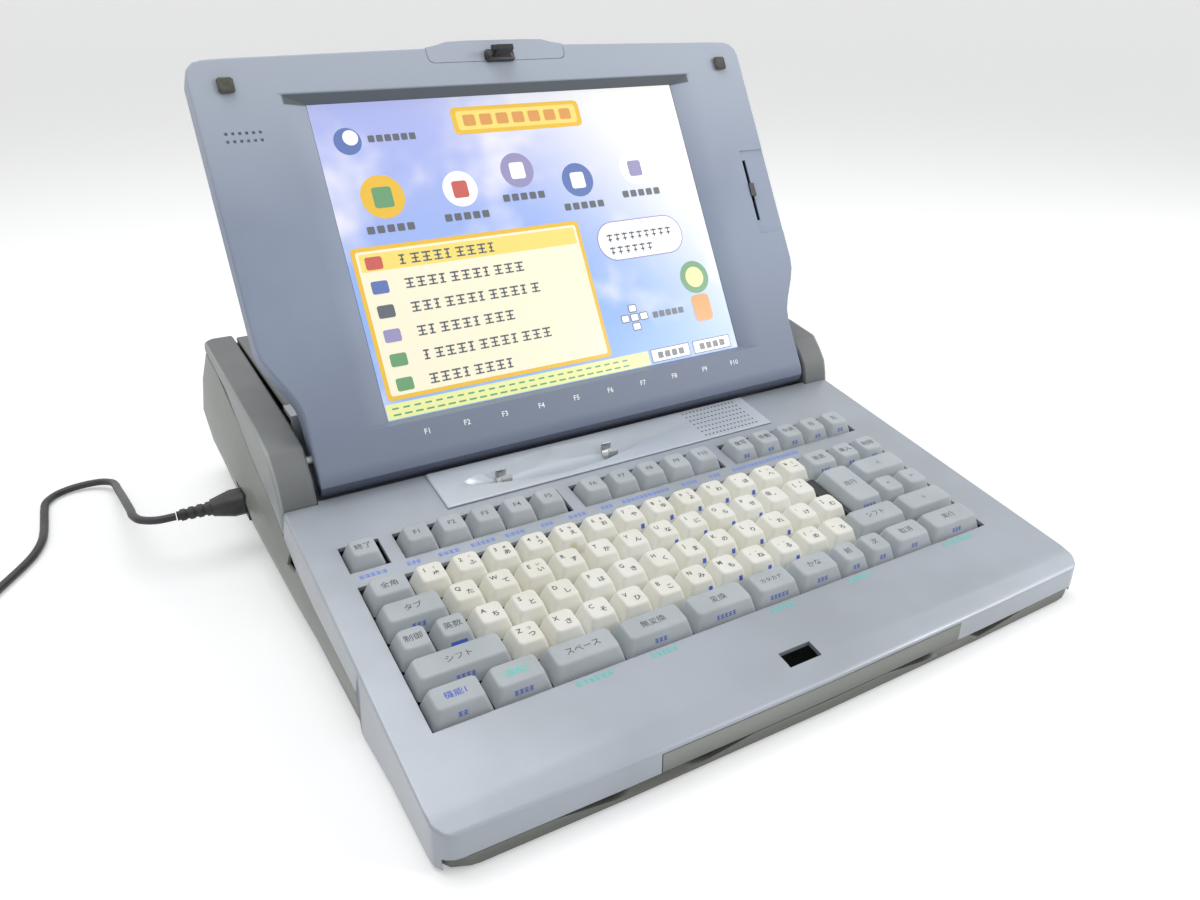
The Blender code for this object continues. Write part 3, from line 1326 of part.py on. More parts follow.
def motor_place():
    reach = GEAR_PITCH_RADIUS + pinion_pitch_radius() + GEAR_BACKLASH
    return PLATEN_Y + reach * math.cos(MOTOR_ANGLE), PLATEN_Z + reach * math.sin(MOTOR_ANGLE)


def gear_outline(pitch_radius, teeth, phase):
    """Teeth with slanted flanks: four points to a tooth, equal land and space."""
    points = []
    step = 2 * math.pi / teeth
    out = pitch_radius + TOOTH_DEPTH * TOOTH_OUT_SHARE
    root = pitch_radius - TOOTH_DEPTH * TOOTH_ROOT_SHARE
    foot, land = TOOTH_FOOT_SHARE, TOOTH_LAND_SHARE
    for i in range(teeth):
        for share, radius in ((-foot, root), (-land, out), (land, out), (foot, root)):
            angle = phase + (i + share) * step
            points.append((radius * math.cos(angle), radius * math.sin(angle)))
    return points


def make_platen():
    left = FRAME_LEFT + FRAME_SHEET + PLATEN_END_GAP
    right = FRAME_RIGHT - FRAME_SHEET - PLATEN_END_GAP
    axis = new_frame("platen_axis", (0.0, PLATEN_Y, PLATEN_Z))
    gear_face = FRAME_RIGHT + RUNNING * 2
    profile = [
        (FRAME_LEFT - CUT, PLATEN_SHAFT_RADIUS), (left, PLATEN_SHAFT_RADIUS), (left, PLATEN_RADIUS),
        (right, PLATEN_RADIUS), (right, PLATEN_SHAFT_RADIUS), (gear_face + GEAR_WIDTH, PLATEN_SHAFT_RADIUS),
    ]
    turned("platen_roller", profile, "rubber", axis, axis="X")
    gear = outline("feed_gear", gear_outline(GEAR_PITCH_RADIUS, GEAR_TEETH, MOTOR_ANGLE), "YZ",
                   gear_face, gear_face + GEAR_WIDTH, "light_key", axis)
    radius = PLATEN_SHAFT_RADIUS + GAP
    cut(gear, turned("gear_bore", [(gear_face - CUT, radius), (gear_face + GEAR_WIDTH + CUT, radius)],
                     axis="X", frame=axis))


def make_motor():
    y, z = motor_place()
    axis = new_frame("motor_axis", (0.0, y, z))
    right = FRAME_RIGHT - FRAME_SHEET - GAP
    profile = [(right - MOTOR_LENGTH, MOTOR_RADIUS), (right, MOTOR_RADIUS)]
    turned("feed_motor", profile, "steel", axis, axis="X")
    gear_face = FRAME_RIGHT + RUNNING * 2
    phase = MOTOR_ANGLE + math.pi + math.pi / PINION_TEETH
    pinion = outline("motor_pinion", gear_outline(pinion_pitch_radius(), PINION_TEETH, phase), "YZ",
                     gear_face, gear_face + GEAR_WIDTH, "brass", axis)
    shaft = [(right + GAP, MOTOR_SHAFT_RADIUS), (gear_face + GEAR_WIDTH / 2, MOTOR_SHAFT_RADIUS)]
    unite(pinion, turned("pinion_shaft", shaft, axis="X", frame=axis, sides=SMALL_SIDES))


def make_carriage():
    turned("carriage_rail", [(FRAME_LEFT - CUT, RAIL_RADIUS), (FRAME_RIGHT + CUT / 2, RAIL_RADIUS)],
           "steel", axis="X", at=(0.0, RAIL_Y, RAIL_Z))
    left = FRAME_LEFT + FRAME_SHEET + CARRIAGE_HOME
    middle = left + CARRIAGE_WIDTH / 2
    front = RAIL_Y - CARRIAGE_DEPTH / 2
    rear = RAIL_Y + CARRIAGE_DEPTH / 2
    carriage = bevel(box("print_carriage", (left, front, CARRIAGE_BOTTOM),
                         (left + CARRIAGE_WIDTH, rear, CARRIAGE_TOP), "black_plastic"), SMALL_BEVEL, 1)
    head_low = (middle - HEAD_WIDTH / 2, rear - CUT, PLATEN_Z - HEAD_HEIGHT / 2)
    head_high = (middle + HEAD_WIDTH / 2, PLATEN_Y - PLATEN_RADIUS - HEAD_GAP, PLATEN_Z + HEAD_HEIGHT / 4)
    unite(carriage, box("head", head_low, head_high))
    radius = RAIL_RADIUS + RUNNING
    cut(carriage, turned("carriage_bore", [(left - CUT, radius), (left + CARRIAGE_WIDTH + CUT, radius)],
                         axis="X", at=(0.0, RAIL_Y, RAIL_Z), sides=SMALL_SIDES))
    make_cassette(middle)


def make_cassette(middle):
    """The ribbon cassette sits on the carriage and shows its ribbon to the platen."""
    low = CARRIAGE_TOP + GAP
    x0, x1 = middle - CASSETTE_WIDTH / 2, middle + CASSETTE_WIDTH / 2
    y1 = RAIL_Y + CARRIAGE_DEPTH / 2
    y0 = y1 - CASSETTE_DEPTH
    c = CASSETTE_CORNER
    points = [(x0, y0 + c), (x0 + c, y0), (x1 - c, y0), (x1, y0 + c), (x1, y1 - c), (x1 - c, y1),
              (x0 + c, y1), (x0, y1 - c)]
    cassette = outline("ribbon_cassette", points, "XY", low, low + CASSETTE_HEIGHT, "black_plastic")
    hub = [(low - CUT, RAIL_RADIUS), (low + CASSETTE_HEIGHT + CUT, RAIL_RADIUS)]
    for side in (-1, 1):
        at = (middle + side * CASSETTE_WIDTH / 5, (y0 + y1) / 2, 0.0)
        cut(cassette, turned("cassette_hub_%d" % (side + 1), hub, at=at, sides=SMALL_SIDES))


# Boards, supply and drive

def make_electronics():
    base = FLOOR_TOP + STANDOFF + GAP
    top = base + BOARD_THICKNESS
    board = box("main_board", (BOARD_LEFT, BOARD_FRONT, base), (BOARD_RIGHT, BOARD_REAR, top), "board")
    wide, deep = BOARD_RIGHT - BOARD_LEFT, BOARD_REAR - BOARD_FRONT
    chips = []
    for share_x, share_y, size in CHIP_SHARES:
        x, y = BOARD_LEFT + share_x * wide, BOARD_FRONT + share_y * deep
        half = size * deep / 2
        chips.append(((x - half, y - half, top - GAP), (x + half, y + half, top + CHIP_HEIGHT)))
    unite(board, boxes("board_chips", chips))
    supply = box("power_supply", (SUPPLY_LEFT, SUPPLY_FRONT, base), (SUPPLY_RIGHT, SUPPLY_REAR, top), "board")
    inset = STANDOFF_SIZE
    middle = (SUPPLY_FRONT + SUPPLY_REAR) / 2
    left, right = SUPPLY_LEFT + inset, SUPPLY_RIGHT - inset
    core = ((left, middle + inset, top - GAP), (right, SUPPLY_REAR - inset, base + SUPPLY_CORE_HEIGHT))
    cans = ((left, SUPPLY_FRONT + inset, top - GAP), (right, middle - inset, base + SUPPLY_CORE_HEIGHT / 2))
    unite(supply, boxes("supply_parts", [core, cans]))


def make_drive():
    left = drive_left()
    base = drive_bottom()
    right = left + DRIVE_LENGTH
    high = (right, DRIVE_FRONT + DRIVE_WIDTH, base + DRIVE_HEIGHT)
    drive = box("floppy_drive", (left, DRIVE_FRONT, base), high, "steel")
    middle = DRIVE_FRONT + DRIVE_WIDTH / 2
    half, tall = DISK_WIDTH / 2, DISK_SLOT / 2
    low = (right - DISK_SLOT_DEPTH, middle - half, drive_middle() - tall)
    slot = (low, (right + CUT, middle + half, drive_middle() + tall))
    y, z = eject_centre()
    wide, high = EJECT_WIDTH / 2 + RUNNING, EJECT_HEIGHT / 2 + RUNNING
    inner = eject_right() - EJECT_LENGTH - EJECT_TRAVEL - RUNNING
    button = ((inner, y - wide, z - high), (right + CUT, y + wide, z + high))
    cut(drive, boxes("drive_cuts", [slot, button]))
    low = (eject_right() - EJECT_LENGTH, y - EJECT_WIDTH / 2, z - EJECT_HEIGHT / 2)
    box("eject_button", low, (eject_right(), y + EJECT_WIDTH / 2, z + EJECT_HEIGHT / 2), "grey_key")


def eject_right():
    y, z = eject_centre()
    return side_x(y, z) + EJECT_PROUD


def make_switch():
    right = side_x(SWITCH_Y, SWITCH_HEIGHT) + SWITCH_PROUD
    half = SWITCH_SIZE / 2
    switch = box("power_switch", (right - SWITCH_LENGTH, SWITCH_Y - half, SWITCH_HEIGHT - half),
                 (right, SWITCH_Y + half, SWITCH_HEIGHT + half), "black_plastic")
    bevel(switch, SMALL_BEVEL, 1)


# Handle, feet

def make_handle():
    low, high = LIP_HEIGHT + GAP, HANDLE_TOP - GAP
    half = HANDLE_HALF_WIDTH - GAP
    rings = []
    for x in np.linspace(-half, half, HANDLE_POINTS):
        front = bowed(x, FRONT_Y, 0.0)
        back = front + HANDLE_BAR
        rings.append([(x, front, low), (x, back, low), (x, back, high), (x, front, high)])
    handle = loft("carry_handle", rings, "silver_plastic")
    arms = []
    wide = HANDLE_ARM_WIDTH / 2
    for side in (-1, 1):
        x = side * HANDLE_ARM_CENTRE
        arm_high = (x + wide, FRONT_Y + HANDLE_ARM_LENGTH, low + HANDLE_ARM_HEIGHT)
        arms.append(((x - wide, FRONT_Y + HANDLE_BAR / 2, low), arm_high))
    unite(handle, boxes("handle_arms", arms))


def make_feet():
    x = BODY_WIDTH / 2 - FOOT_INSET_X
    front, rear = FRONT_Y + FOOT_INSET_FRONT, REAR_Y - FOOT_INSET_REAR
    places = {
        "foot_front_left": (-x, front), "foot_front_right": (x, front),
        "foot_rear_left": (-x, rear), "foot_rear_right": (x, rear),
    }
    top = FLOOR_BOTTOM - GAP
    for name, (px, py) in places.items():
        profile = [(0.0, FOOT_RADIUS - top / 2), (top / 2, FOOT_RADIUS), (top, FOOT_RADIUS)]
        turned(name, profile, "rubber", at=(px, py, 0.0), sides=SMALL_SIDES)


# Lid

def crown(x):
    """Extra height of the lid's top edge: a slight arch, and a raised middle."""
    arch = LID_CROWN * (1 - (x / LID_HALF_WIDTH) ** 2)
    share = abs(x) / LATCH_PANEL_HALF_WIDTH
    edge = LATCH_SHOULDER_SHARE
    t = min(1.0, max(0.0, (1 - share) / (1 - edge)))
    return arch + LATCH_PANEL_RISE * t * t * (3 - 2 * t)


def lid_outline(inset, toe=0.0):
    """Front view of the lid: a neck between the cheeks, then shoulders out to full width."""
    right = [(LID_NECK_HALF_WIDTH - inset, LID_BOTTOM + inset + toe)]
    for share in np.linspace(0.0, 1.0, SHOULDER_POINTS):
        ease = share * share * (3 - 2 * share)
        x = LID_NECK_HALF_WIDTH + (LID_HALF_WIDTH - LID_NECK_HALF_WIDTH) * ease
        right.append((x - inset, LID_SHOULDER + LID_SHOULDER_RISE * share + inset * SHOULDER_INSET_SHARE))
    radius = LID_CORNER_RADIUS
    centre = (LID_HALF_WIDTH - radius, LID_TOP_CORNER - radius)
    right += arc(centre, radius - inset, 0.0, math.pi / 2, 4)
    edge = LID_HALF_WIDTH - 2 * radius
    right += [(edge * s, LID_TOP_CORNER + crown(edge * s) - inset) for s in CROWN_SHARES]
    left = [(-x, y) for x, y in reversed(right)]
    return right + [(0.0, LID_TOP_CORNER + crown(0.0) - inset)] + left


def lid_rings(levels):
    """Sections of a lid shell: each level is (depth behind the face, inset, toe rise)."""
    return [[(x, y, LID_FACE - depth) for x, y in lid_outline(inset, toe)] for depth, inset, toe in levels]


def toe_at(depth):
    shares = np.array(LID_TOE_SHARES)
    return float(np.interp(depth, shares[:, 0] * LID_SPLIT, shares[:, 1] * LID_TOE_RADIUS))


def screen_rect(grow_x, grow_top, grow_bottom, depth):
    half = SCREEN_WIDTH / 2 + grow_x
    low, high = SCREEN_BOTTOM - grow_bottom, SCREEN_BOTTOM + SCREEN_HEIGHT + grow_top
    z = LID_FACE - depth
    return [(-half, low, z), (half, low, z), (half, high, z), (-half, high, z)]


def screen_recess():
    """Sloping sides from the bezel's face in to the screen, run a little past both."""
    slope = (SCREEN_BEVEL_SIDE, SCREEN_BEVEL_TOP, SCREEN_BEVEL_BOTTOM)
    over = CUT / SCREEN_SINK
    outer = screen_rect(*(g * (1 + over) for g in slope), -CUT)
    inner = screen_rect(0.0, 0.0, 0.0, SCREEN_SINK)
    through = screen_rect(0.0, 0.0, 0.0, SCREEN_SINK + CUT)
    return loft("screen_recess", [outer, inner, through], frame=LID)


def make_bezel():
    levels = [(0.0, LID_EDGE_RADIUS, toe_at(0.0))]
    levels += [(LID_EDGE_RADIUS / 2, LID_EDGE_RADIUS / 4, toe_at(LID_EDGE_RADIUS / 2))]
    levels += [(LID_SPLIT * s, 0.0, toe_at(LID_SPLIT * s)) for s in BEZEL_LEVEL_SHARES]
    bezel = loft("lid_bezel", lid_rings(levels), "lid_plastic", LID)
    wall = LID_WALL
    hollow = [(wall, wall, LID_TOE_RADIUS)]
    hollow.append((LID_SPLIT * HOLLOW_LEVEL_SHARE, wall, LID_TOE_RADIUS * HOLLOW_TOE_SHARE))
    hollow.append((LID_SPLIT + CUT, wall, 0.0))
    cut(bezel, loft("bezel_hollow", lid_rings(hollow), frame=LID))
    half = SCREEN_WIDTH / 2 + SCREEN_BEVEL_SIDE + RIM_MARGIN
    rim_low = (-half, SCREEN_BOTTOM - SCREEN_BEVEL_BOTTOM - RIM_MARGIN, LID_FACE - SCREEN_SINK)
    rim_high = (half, SCREEN_BOTTOM + SCREEN_HEIGHT + SCREEN_BEVEL_TOP + RIM_MARGIN, LID_FACE - wall / 2)
    unite(bezel, box("screen_rim", rim_low, rim_high, frame=LID))
    cut(bezel, screen_recess())
    backing = LATCH_PANEL_HALF_WIDTH + RIM_MARGIN
    unite(bezel, box("latch_backing", (-backing, LATCH_PANEL_BOTTOM - RIM_MARGIN, LID_FACE - RIM_DEPTH),
                     (backing, LID_TOP_CORNER - GAP, LID_FACE - wall / 2), frame=LID))
    cut(bezel, outline("latch_panel_space", latch_panel_outline(GAP), "XY",
                       LID_FACE - LATCH_PANEL_THICKNESS - GAP, LID_FACE + CUT, frame=LID))
    cut(bezel, latch_way("latch_way", RIM_DEPTH + CUT), slider_recess(), slider_slot())
    cut(bezel, *lid_pin_holes("bezel"), microphone_holes())


def make_lid_cover():
    back = LID_THICKNESS
    radius = LID_BACK_RADIUS
    part = radius / 3
    levels = [(LID_SPLIT + GAP, 0.0, 0.0), (back - radius, 0.0, 0.0)]
    levels += [(back - part, part, part), (back, radius, radius)]
    cover = loft("lid_cover", lid_rings(levels), "lid_plastic", LID)
    wall = LID_WALL
    hollow = [(LID_SPLIT - CUT, wall, 0.0), (back - radius, wall, 0.0), (back - wall, radius, radius / 2)]
    cut(cover, loft("cover_hollow", lid_rings(hollow), frame=LID))
    half_x, half_y = PANEL_POST_SPACING / 2, PANEL_POST_SIZE / 2
    seat = LID_FACE - back + wall
    shelf = SCREEN_BOTTOM + SCREEN_HEIGHT / 2
    posts = [((x - half_y, shelf - half_y, seat - GAP), (x + half_y, shelf + half_y, panel_back() - GAP))
             for x in (-half_x, half_x)]
    unite(cover, boxes("panel_posts", posts, frame=LID))
    cut(cover, *lid_pin_holes("cover"))


def panel_back():
    return LID_FACE - SCREEN_SINK - GAP - PANEL_BODY_THICKNESS


def lid_pin_holes(name):
    radius = HINGE_PIN_RADIUS + RUNNING
    holes = []
    for side in (-1, 1):
        x = side * LID_NECK_HALF_WIDTH
        profile = [(x - LID_WALL - CUT, radius), (x + LID_WALL + CUT, radius)]
        hole = "%s_pin_hole_%d" % (name, side + 1)
        holes.append(turned(hole, profile, axis="X", frame=LID, sides=SMALL_SIDES))
    return holes


def make_screen():
    grow = SCREEN_FRAME
    half = SCREEN_WIDTH / 2 + grow
    top = LID_FACE - SCREEN_SINK - GAP
    low = (-half, SCREEN_BOTTOM - grow, top - PANEL_BODY_THICKNESS)
    box("lcd_panel", low, (half, SCREEN_BOTTOM + SCREEN_HEIGHT + grow, top), "screen", LID)


def latch_panel_outline(grow):
    half = LATCH_PANEL_HALF_WIDTH + grow
    bottom = LATCH_PANEL_BOTTOM - grow
    radius = LATCH_PANEL_CORNER
    lower = arc((half - radius, bottom + radius), radius, -math.pi / 2, 0.0, 3)
    over = CUT if grow else 0.0
    top = [(half * s, LID_TOP_CORNER + crown(half * s) + over) for s in PANEL_TOP_SHARES]
    right = lower + top
    return right + [(-x, y) for x, y in reversed(right[:-1])]


def latch_middle():
    return LATCH_REACH


def latch_way(name, depth):
    half = LATCH_STEM_HALF_WIDTH
    tall = LATCH_STEM_HEIGHT / 2 + RUNNING
    low = (-half - LATCH_TRAVEL - RUNNING, latch_middle() - tall, LID_FACE - depth)
    return box(name, low, (half + RUNNING, latch_middle() + tall, LID_FACE + CUT), frame=LID)


def make_latch():
    panel = outline("latch_panel", latch_panel_outline(0.0), "XY",
                    LID_FACE - LATCH_PANEL_THICKNESS, LID_FACE, "lid_plastic", LID)
    cut(panel, latch_way("panel_way", LATCH_PANEL_THICKNESS + CUT))
    y, face = latch_middle(), LID_FACE + GAP
    tall = LATCH_HEIGHT / 2
    block_high = (LATCH_HALF_WIDTH, y + tall, face + LATCH_BLOCK)
    latch = box("lid_latch", (-LATCH_HALF_WIDTH, y - tall, face), block_high, "black_plastic", LID)
    bevel(latch, SMALL_BEVEL, 1)
    back = LID_FACE - RIM_DEPTH - GAP
    stem = LATCH_STEM_HEIGHT / 2
    thick = HOOK_THICKNESS / 2
    flange = LATCH_STEM_HALF_WIDTH + LATCH_FLANGE_MARGIN
    unite(latch, box("latch_stem", (-LATCH_STEM_HALF_WIDTH, y - stem, back - GAP),
                     (LATCH_STEM_HALF_WIDTH, y + stem, face + GAP), frame=LID))
    wide = stem + RUNNING * 2
    unite(latch, box("latch_flange", (-flange, y - wide, back - LATCH_FLANGE_THICKNESS),
                     (flange, y + wide, back), frame=LID))
    unite(latch, box("hook", (-HOOK_HALF_WIDTH, y - thick, face + GAP),
                     (HOOK_HALF_WIDTH, y + thick, LID_FACE + HOOK_REACH), frame=LID))
    tip = LID_FACE + HOOK_REACH
    unite(latch, box("hook_lip", (-HOOK_HALF_WIDTH - HOOK_LIP, y - thick + GAP / 3, tip - HOOK_LIP_THICKNESS),
                     (-HOOK_HALF_WIDTH + HOOK_LIP, y + thick - GAP / 3, tip - GAP / 3), frame=LID))


def slider_recess():
    low = (BRIGHT_RECESS_LEFT, BRIGHT_RECESS_BOTTOM, LID_FACE - BRIGHT_RECESS_DEPTH)
    return box("slider_recess", low, (LID_HALF_WIDTH + CUT, BRIGHT_RECESS_TOP, LID_FACE + CUT), frame=LID)


def slider_slot():
    half, long = BRIGHT_SLOT_WIDTH / 2, BRIGHT_SLOT_LENGTH / 2
    low = (BRIGHT_X - half, BRIGHT_CENTRE - long, LID_FACE - LID_WALL - CUT)
    return box("slider_slot", low, (BRIGHT_X + half, BRIGHT_CENTRE + long, LID_FACE + CUT), frame=LID)


def make_brightness_slider():
    """A knob on the recess floor, held by a flange behind the bezel wall."""
    x, y = BRIGHT_X, BRIGHT_CENTRE
    face = LID_FACE - BRIGHT_RECESS_DEPTH + GAP
    back = LID_FACE - LID_WALL - GAP
    half, long = KNOB_WIDTH / 2, KNOB_LENGTH / 2
    knob_high = (x + half, y + long, face + KNOB_HEIGHT)
    slider = box("brightness_slider", (x - half, y - long, face), knob_high, "lid_plastic", LID)
    stem = BRIGHT_SLOT_WIDTH / 2 - RUNNING
    unite(slider, box("slider_stem", (x - stem, y - long / 2, back - GAP),
                      (x + stem, y + long / 2, face + GAP), frame=LID))
    unite(slider, box("slider_flange", (x - half, y - long, back - LATCH_FLANGE_THICKNESS),
                      (x + half, y + long, back), frame=LID))


def microphone_holes():
    corners = []
    for row in range(2):
        for column in range(6):
            x = MIC_LEFT + column * MIC_PITCH
            y = MIC_BOTTOM + row * MIC_ROW
            low = (x - MIC_HOLE / 2, y - MIC_HOLE / 2, LID_FACE - LID_WALL / 2)
            corners.append((low, (x + MIC_HOLE / 2, y + MIC_HOLE / 2, LID_FACE + CUT)))
    return boxes("small_vents", corners, frame=LID)


def make_bumpers():
    for side, word in ((-1, "left"), (1, "right")):
        x, y = side * BUMPER_X, BUMPER_HEIGHT_ON_LID
        half = BUMPER_SIZE / 2
        low = (x - half, y - half, LID_FACE + GAP)
        bumper = box("bumper_" + word, low, (x + half, y + half, LID_FACE + BUMPER_PROUD), "rubber", LID)
        bevel(bumper, BUMPER_BEVEL, 1)


# Inlet, plugs and cord

def make_inlet():
    x = side_x(INLET_Y, INLET_Z) - GAP * 2
    half, tall = INLET_WIDTH / 2, INLET_HEIGHT / 2
    high = (-x + INLET_DEPTH, INLET_Y + half, INLET_Z + tall)
    box("ac_inlet", (-x, INLET_Y - half, INLET_Z - tall), high, "black_plastic")


def chamfered(w, h, c):
    """Corners of a rectangle of half width w and half height h, each cut off by c."""
    lower = [(-w, c - h), (c - w, -h), (w - c, -h), (w, c - h)]
    return lower + [(w, h - c), (w - c, h), (c - w, h), (-w, h - c)]


def plug_ring(x, width, height):
    corners = chamfered(width / 2, height / 2, min(width, height) / 4)
    return [(x, INLET_Y + y, INLET_Z + z) for y, z in corners]


def make_power_plug():
    """Moulded connector in the inlet, with a ribbed strain relief."""
    face = -side_x(INLET_Y, INLET_Z) + GAP
    end = face - PLUG_LENGTH
    rings = [
        plug_ring(face, PLUG_WIDTH, PLUG_HEIGHT),
        plug_ring(face - PLUG_LENGTH * PLUG_BODY_SHARE, PLUG_WIDTH, PLUG_HEIGHT),
        plug_ring(end, PLUG_WIDTH * PLUG_TAPER_SHARE, PLUG_HEIGHT * PLUG_TAPER_SHARE),
    ]
    plug = loft("power_plug", rings, "black_plastic")
    profile = [(end + CUT, RELIEF_END_RADIUS)]
    step = RELIEF_LENGTH / RELIEF_RIBS
    for i in range(RELIEF_RIBS):
        start = end - i * step
        radius = RELIEF_RADIUS + (RELIEF_END_RADIUS - RELIEF_RADIUS) * i / RELIEF_RIBS
        land, groove, rise = (start - step * share for share in RIB_SHARES)
        low = radius - RELIEF_GROOVE
        profile += [(start, radius), (land, radius), (groove, low), (rise, low)]
    profile.append((end - RELIEF_LENGTH, RELIEF_END_RADIUS))
    profile = sorted(profile)
    unite(plug, turned("relief", profile, axis="X", at=(0.0, INLET_Y, INLET_Z), sides=SMALL_SIDES))


def smooth_route(points, count):
    """Points at even steps along a smooth curve through the route's own points."""
    given = np.array(points)
    padded = np.vstack((2 * given[0] - given[1], given, 2 * given[-1] - given[-2]))
    fine = []
    for i in range(len(given) - 1):
        a, b, c, d = padded[i:i + 4]
        t = np.linspace(0.0, 1.0, CURVE_STEPS, endpoint=False)[:, None]
        square, cube = 2 * a - 5 * b + 4 * c - d, 3 * b - a - 3 * c + d
        fine.append((2 * b + (c - a) * t + square * t ** 2 + cube * t ** 3) / 2)
    fine = np.vstack(fine + [given[-1:]])
    length = np.concatenate(([0.0], np.cumsum(np.linalg.norm(np.diff(fine, axis=0), axis=1))))
    even = np.linspace(0.0, length[-1], count)
    return np.column_stack([np.interp(even, length, fine[:, k]) for k in range(3)]), length[-1]


def coil_points():
    """A flat spiral in, a climb of one layer in half a turn, and a spiral out again."""
    radius = CORD_DIAMETER / 2
    outer = COIL_INNER_RADIUS + COIL_TURNS * COIL_STEP
    count = int(COIL_TURNS * COIL_POINTS)
    turn = np.linspace(0.0, COIL_TURNS, count)
    into = np.column_stack((turn, outer - turn * COIL_STEP, np.full(count, radius + CORD_LIFT)))
    half = np.linspace(0.0, 0.5, COIL_POINTS // 2 + 1)[1:]
    climb = (1 - np.cos(half * 2 * math.pi)) / 2 * COIL_STEP
    turning = COIL_INNER_RADIUS + COIL_STEP * (2 * half * half - half)
    over = np.column_stack((COIL_TURNS + half, turning, radius + CORD_LIFT + climb))
    back = turn[1:]
    out = np.column_stack((COIL_TURNS + 0.5 + back, COIL_INNER_RADIUS + back * COIL_STEP,
                           np.full(len(back), radius + CORD_LIFT + COIL_STEP)))
    spiral = np.vstack((into, over, out))
    angle = -2 * math.pi * spiral[:, 0]
    xs = COIL_X + spiral[:, 1] * np.cos(angle)
    ys = COIL_Y + spiral[:, 1] * np.sin(angle)
    points = np.column_stack((xs, ys, spiral[:, 2]))
    lead_in = points[0] - unit(points[1] - points[0]) * CORD_DIAMETER
    flat = unit((points[-1] - points[-2]) * (1, 1, 0))
    leads = np.linspace(0.0, COIL_LEAD, 4)[1:, None]
    lead_out = points[-1] + flat * leads
    heights = (points[-1][2], MAINS_PLUG_HEIGHT / 2 + CORD_LIFT)
    lead_out[:, 2] = np.interp(leads[:, 0], (0.0, COIL_LEAD), heights)
    return np.vstack((lead_in, points, lead_out))


def unit(vector):
    return vector / np.linalg.norm(vector)


def least_gap(points, skip):
    """Least distance between turns that are not neighbours along the tube."""
    least = BODY_WIDTH
    for i in range(len(points) - skip):
        apart = np.linalg.norm(points[i + skip:] - points[i], axis=1)
        least = min(least, apart.min())
    return least - CORD_DIAMETER


def make_cord():
    route, length = smooth_route(CORD_ROUTE, ROUTE_POINTS)
    tube("cord_run", route, CORD_DIAMETER / 2, "cord")
    coil = coil_points()
    tube("cord_coil", coil, CORD_DIAMETER / 2, "cord", 1)
    steps = np.linalg.norm(np.diff(coil, axis=0), axis=1)
    print("cord run %.4f m, coil %.4f m" % (length, steps.sum()))
    print("coil gap %.5f m" % least_gap(coil, COIL_POINTS * 2 // 3))
    print("coil start", coil[0], "direction", unit(coil[1] - coil[0]))
    make_mains_plug(coil[-1], unit((coil[-1] - coil[-2]) * (1, 1, 0)))


def make_mains_plug(end, direction):
    """A two-pin plug in line with the end of the coil."""
    axis = Vector(direction)
    side = Vector((0.0, 0.0, 1.0)).cross(axis).normalized()
    up = axis.cross(side)
    turn = Matrix((axis, side, up)).transposed().to_4x4()
    frame = bpy.data.objects.new("mains_plug_frame", None)
    frame.matrix_world = Matrix.Translation(Vector(end) + axis * GAP) @ turn
    PARTS.objects.link(frame)
    half, tall = MAINS_PLUG_WIDTH / 2, MAINS_PLUG_HEIGHT / 2
    neck = CORD_DIAMETER
    sections = [(0.0, neck, neck)]
    sections += [(MAINS_PLUG_LENGTH * part, half * wide, tall * high) for part, wide, high in BACK_SHARES]
    sections.append((MAINS_PLUG_LENGTH, half, tall))
    rings = [[(along, y, z) for y, z in chamfered(w, h, min(w, h) / 3)] for along, w, h in sections]
    plug = loft("mains_plug", rings, "black_plastic", frame)
    blades = []
    for s in (-1, 1):
        y = s * BLADE_SPACING / 2
        low = (MAINS_PLUG_LENGTH - CUT, y - BLADE_THICKNESS / 2, -BLADE_HEIGHT / 2)
        blades.append((low, (MAINS_PLUG_LENGTH + BLADE_LENGTH, y + BLADE_THICKNESS / 2, BLADE_HEIGHT / 2)))
    unite(plug, boxes("plug_blades", blades, frame=frame))


def build():
    make_bottom_case()
    make_top_case()
    make_pen_tray()
    make_pen_clips()
    stems = make_keys()
    make_keyboard_plate(stems)
    make_speaker()
    for name, side in (("left", -1), ("right", 1)):
        make_cheek("cheek_" + name, side)
        make_hinge("hinge_" + name, side)
    make_printer_cover()
    make_printer_frame()
    make_platen()
    make_motor()
    make_carriage()
    make_electronics()
    make_drive()
    make_switch()
    make_handle()
    make_feet()
    make_bezel()
    make_lid_cover()
    make_screen()
    make_latch()
    make_brightness_slider()
    make_bumpers()
    make_inlet()
    make_power_plug()
    make_cord()


build()
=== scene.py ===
import json
import math

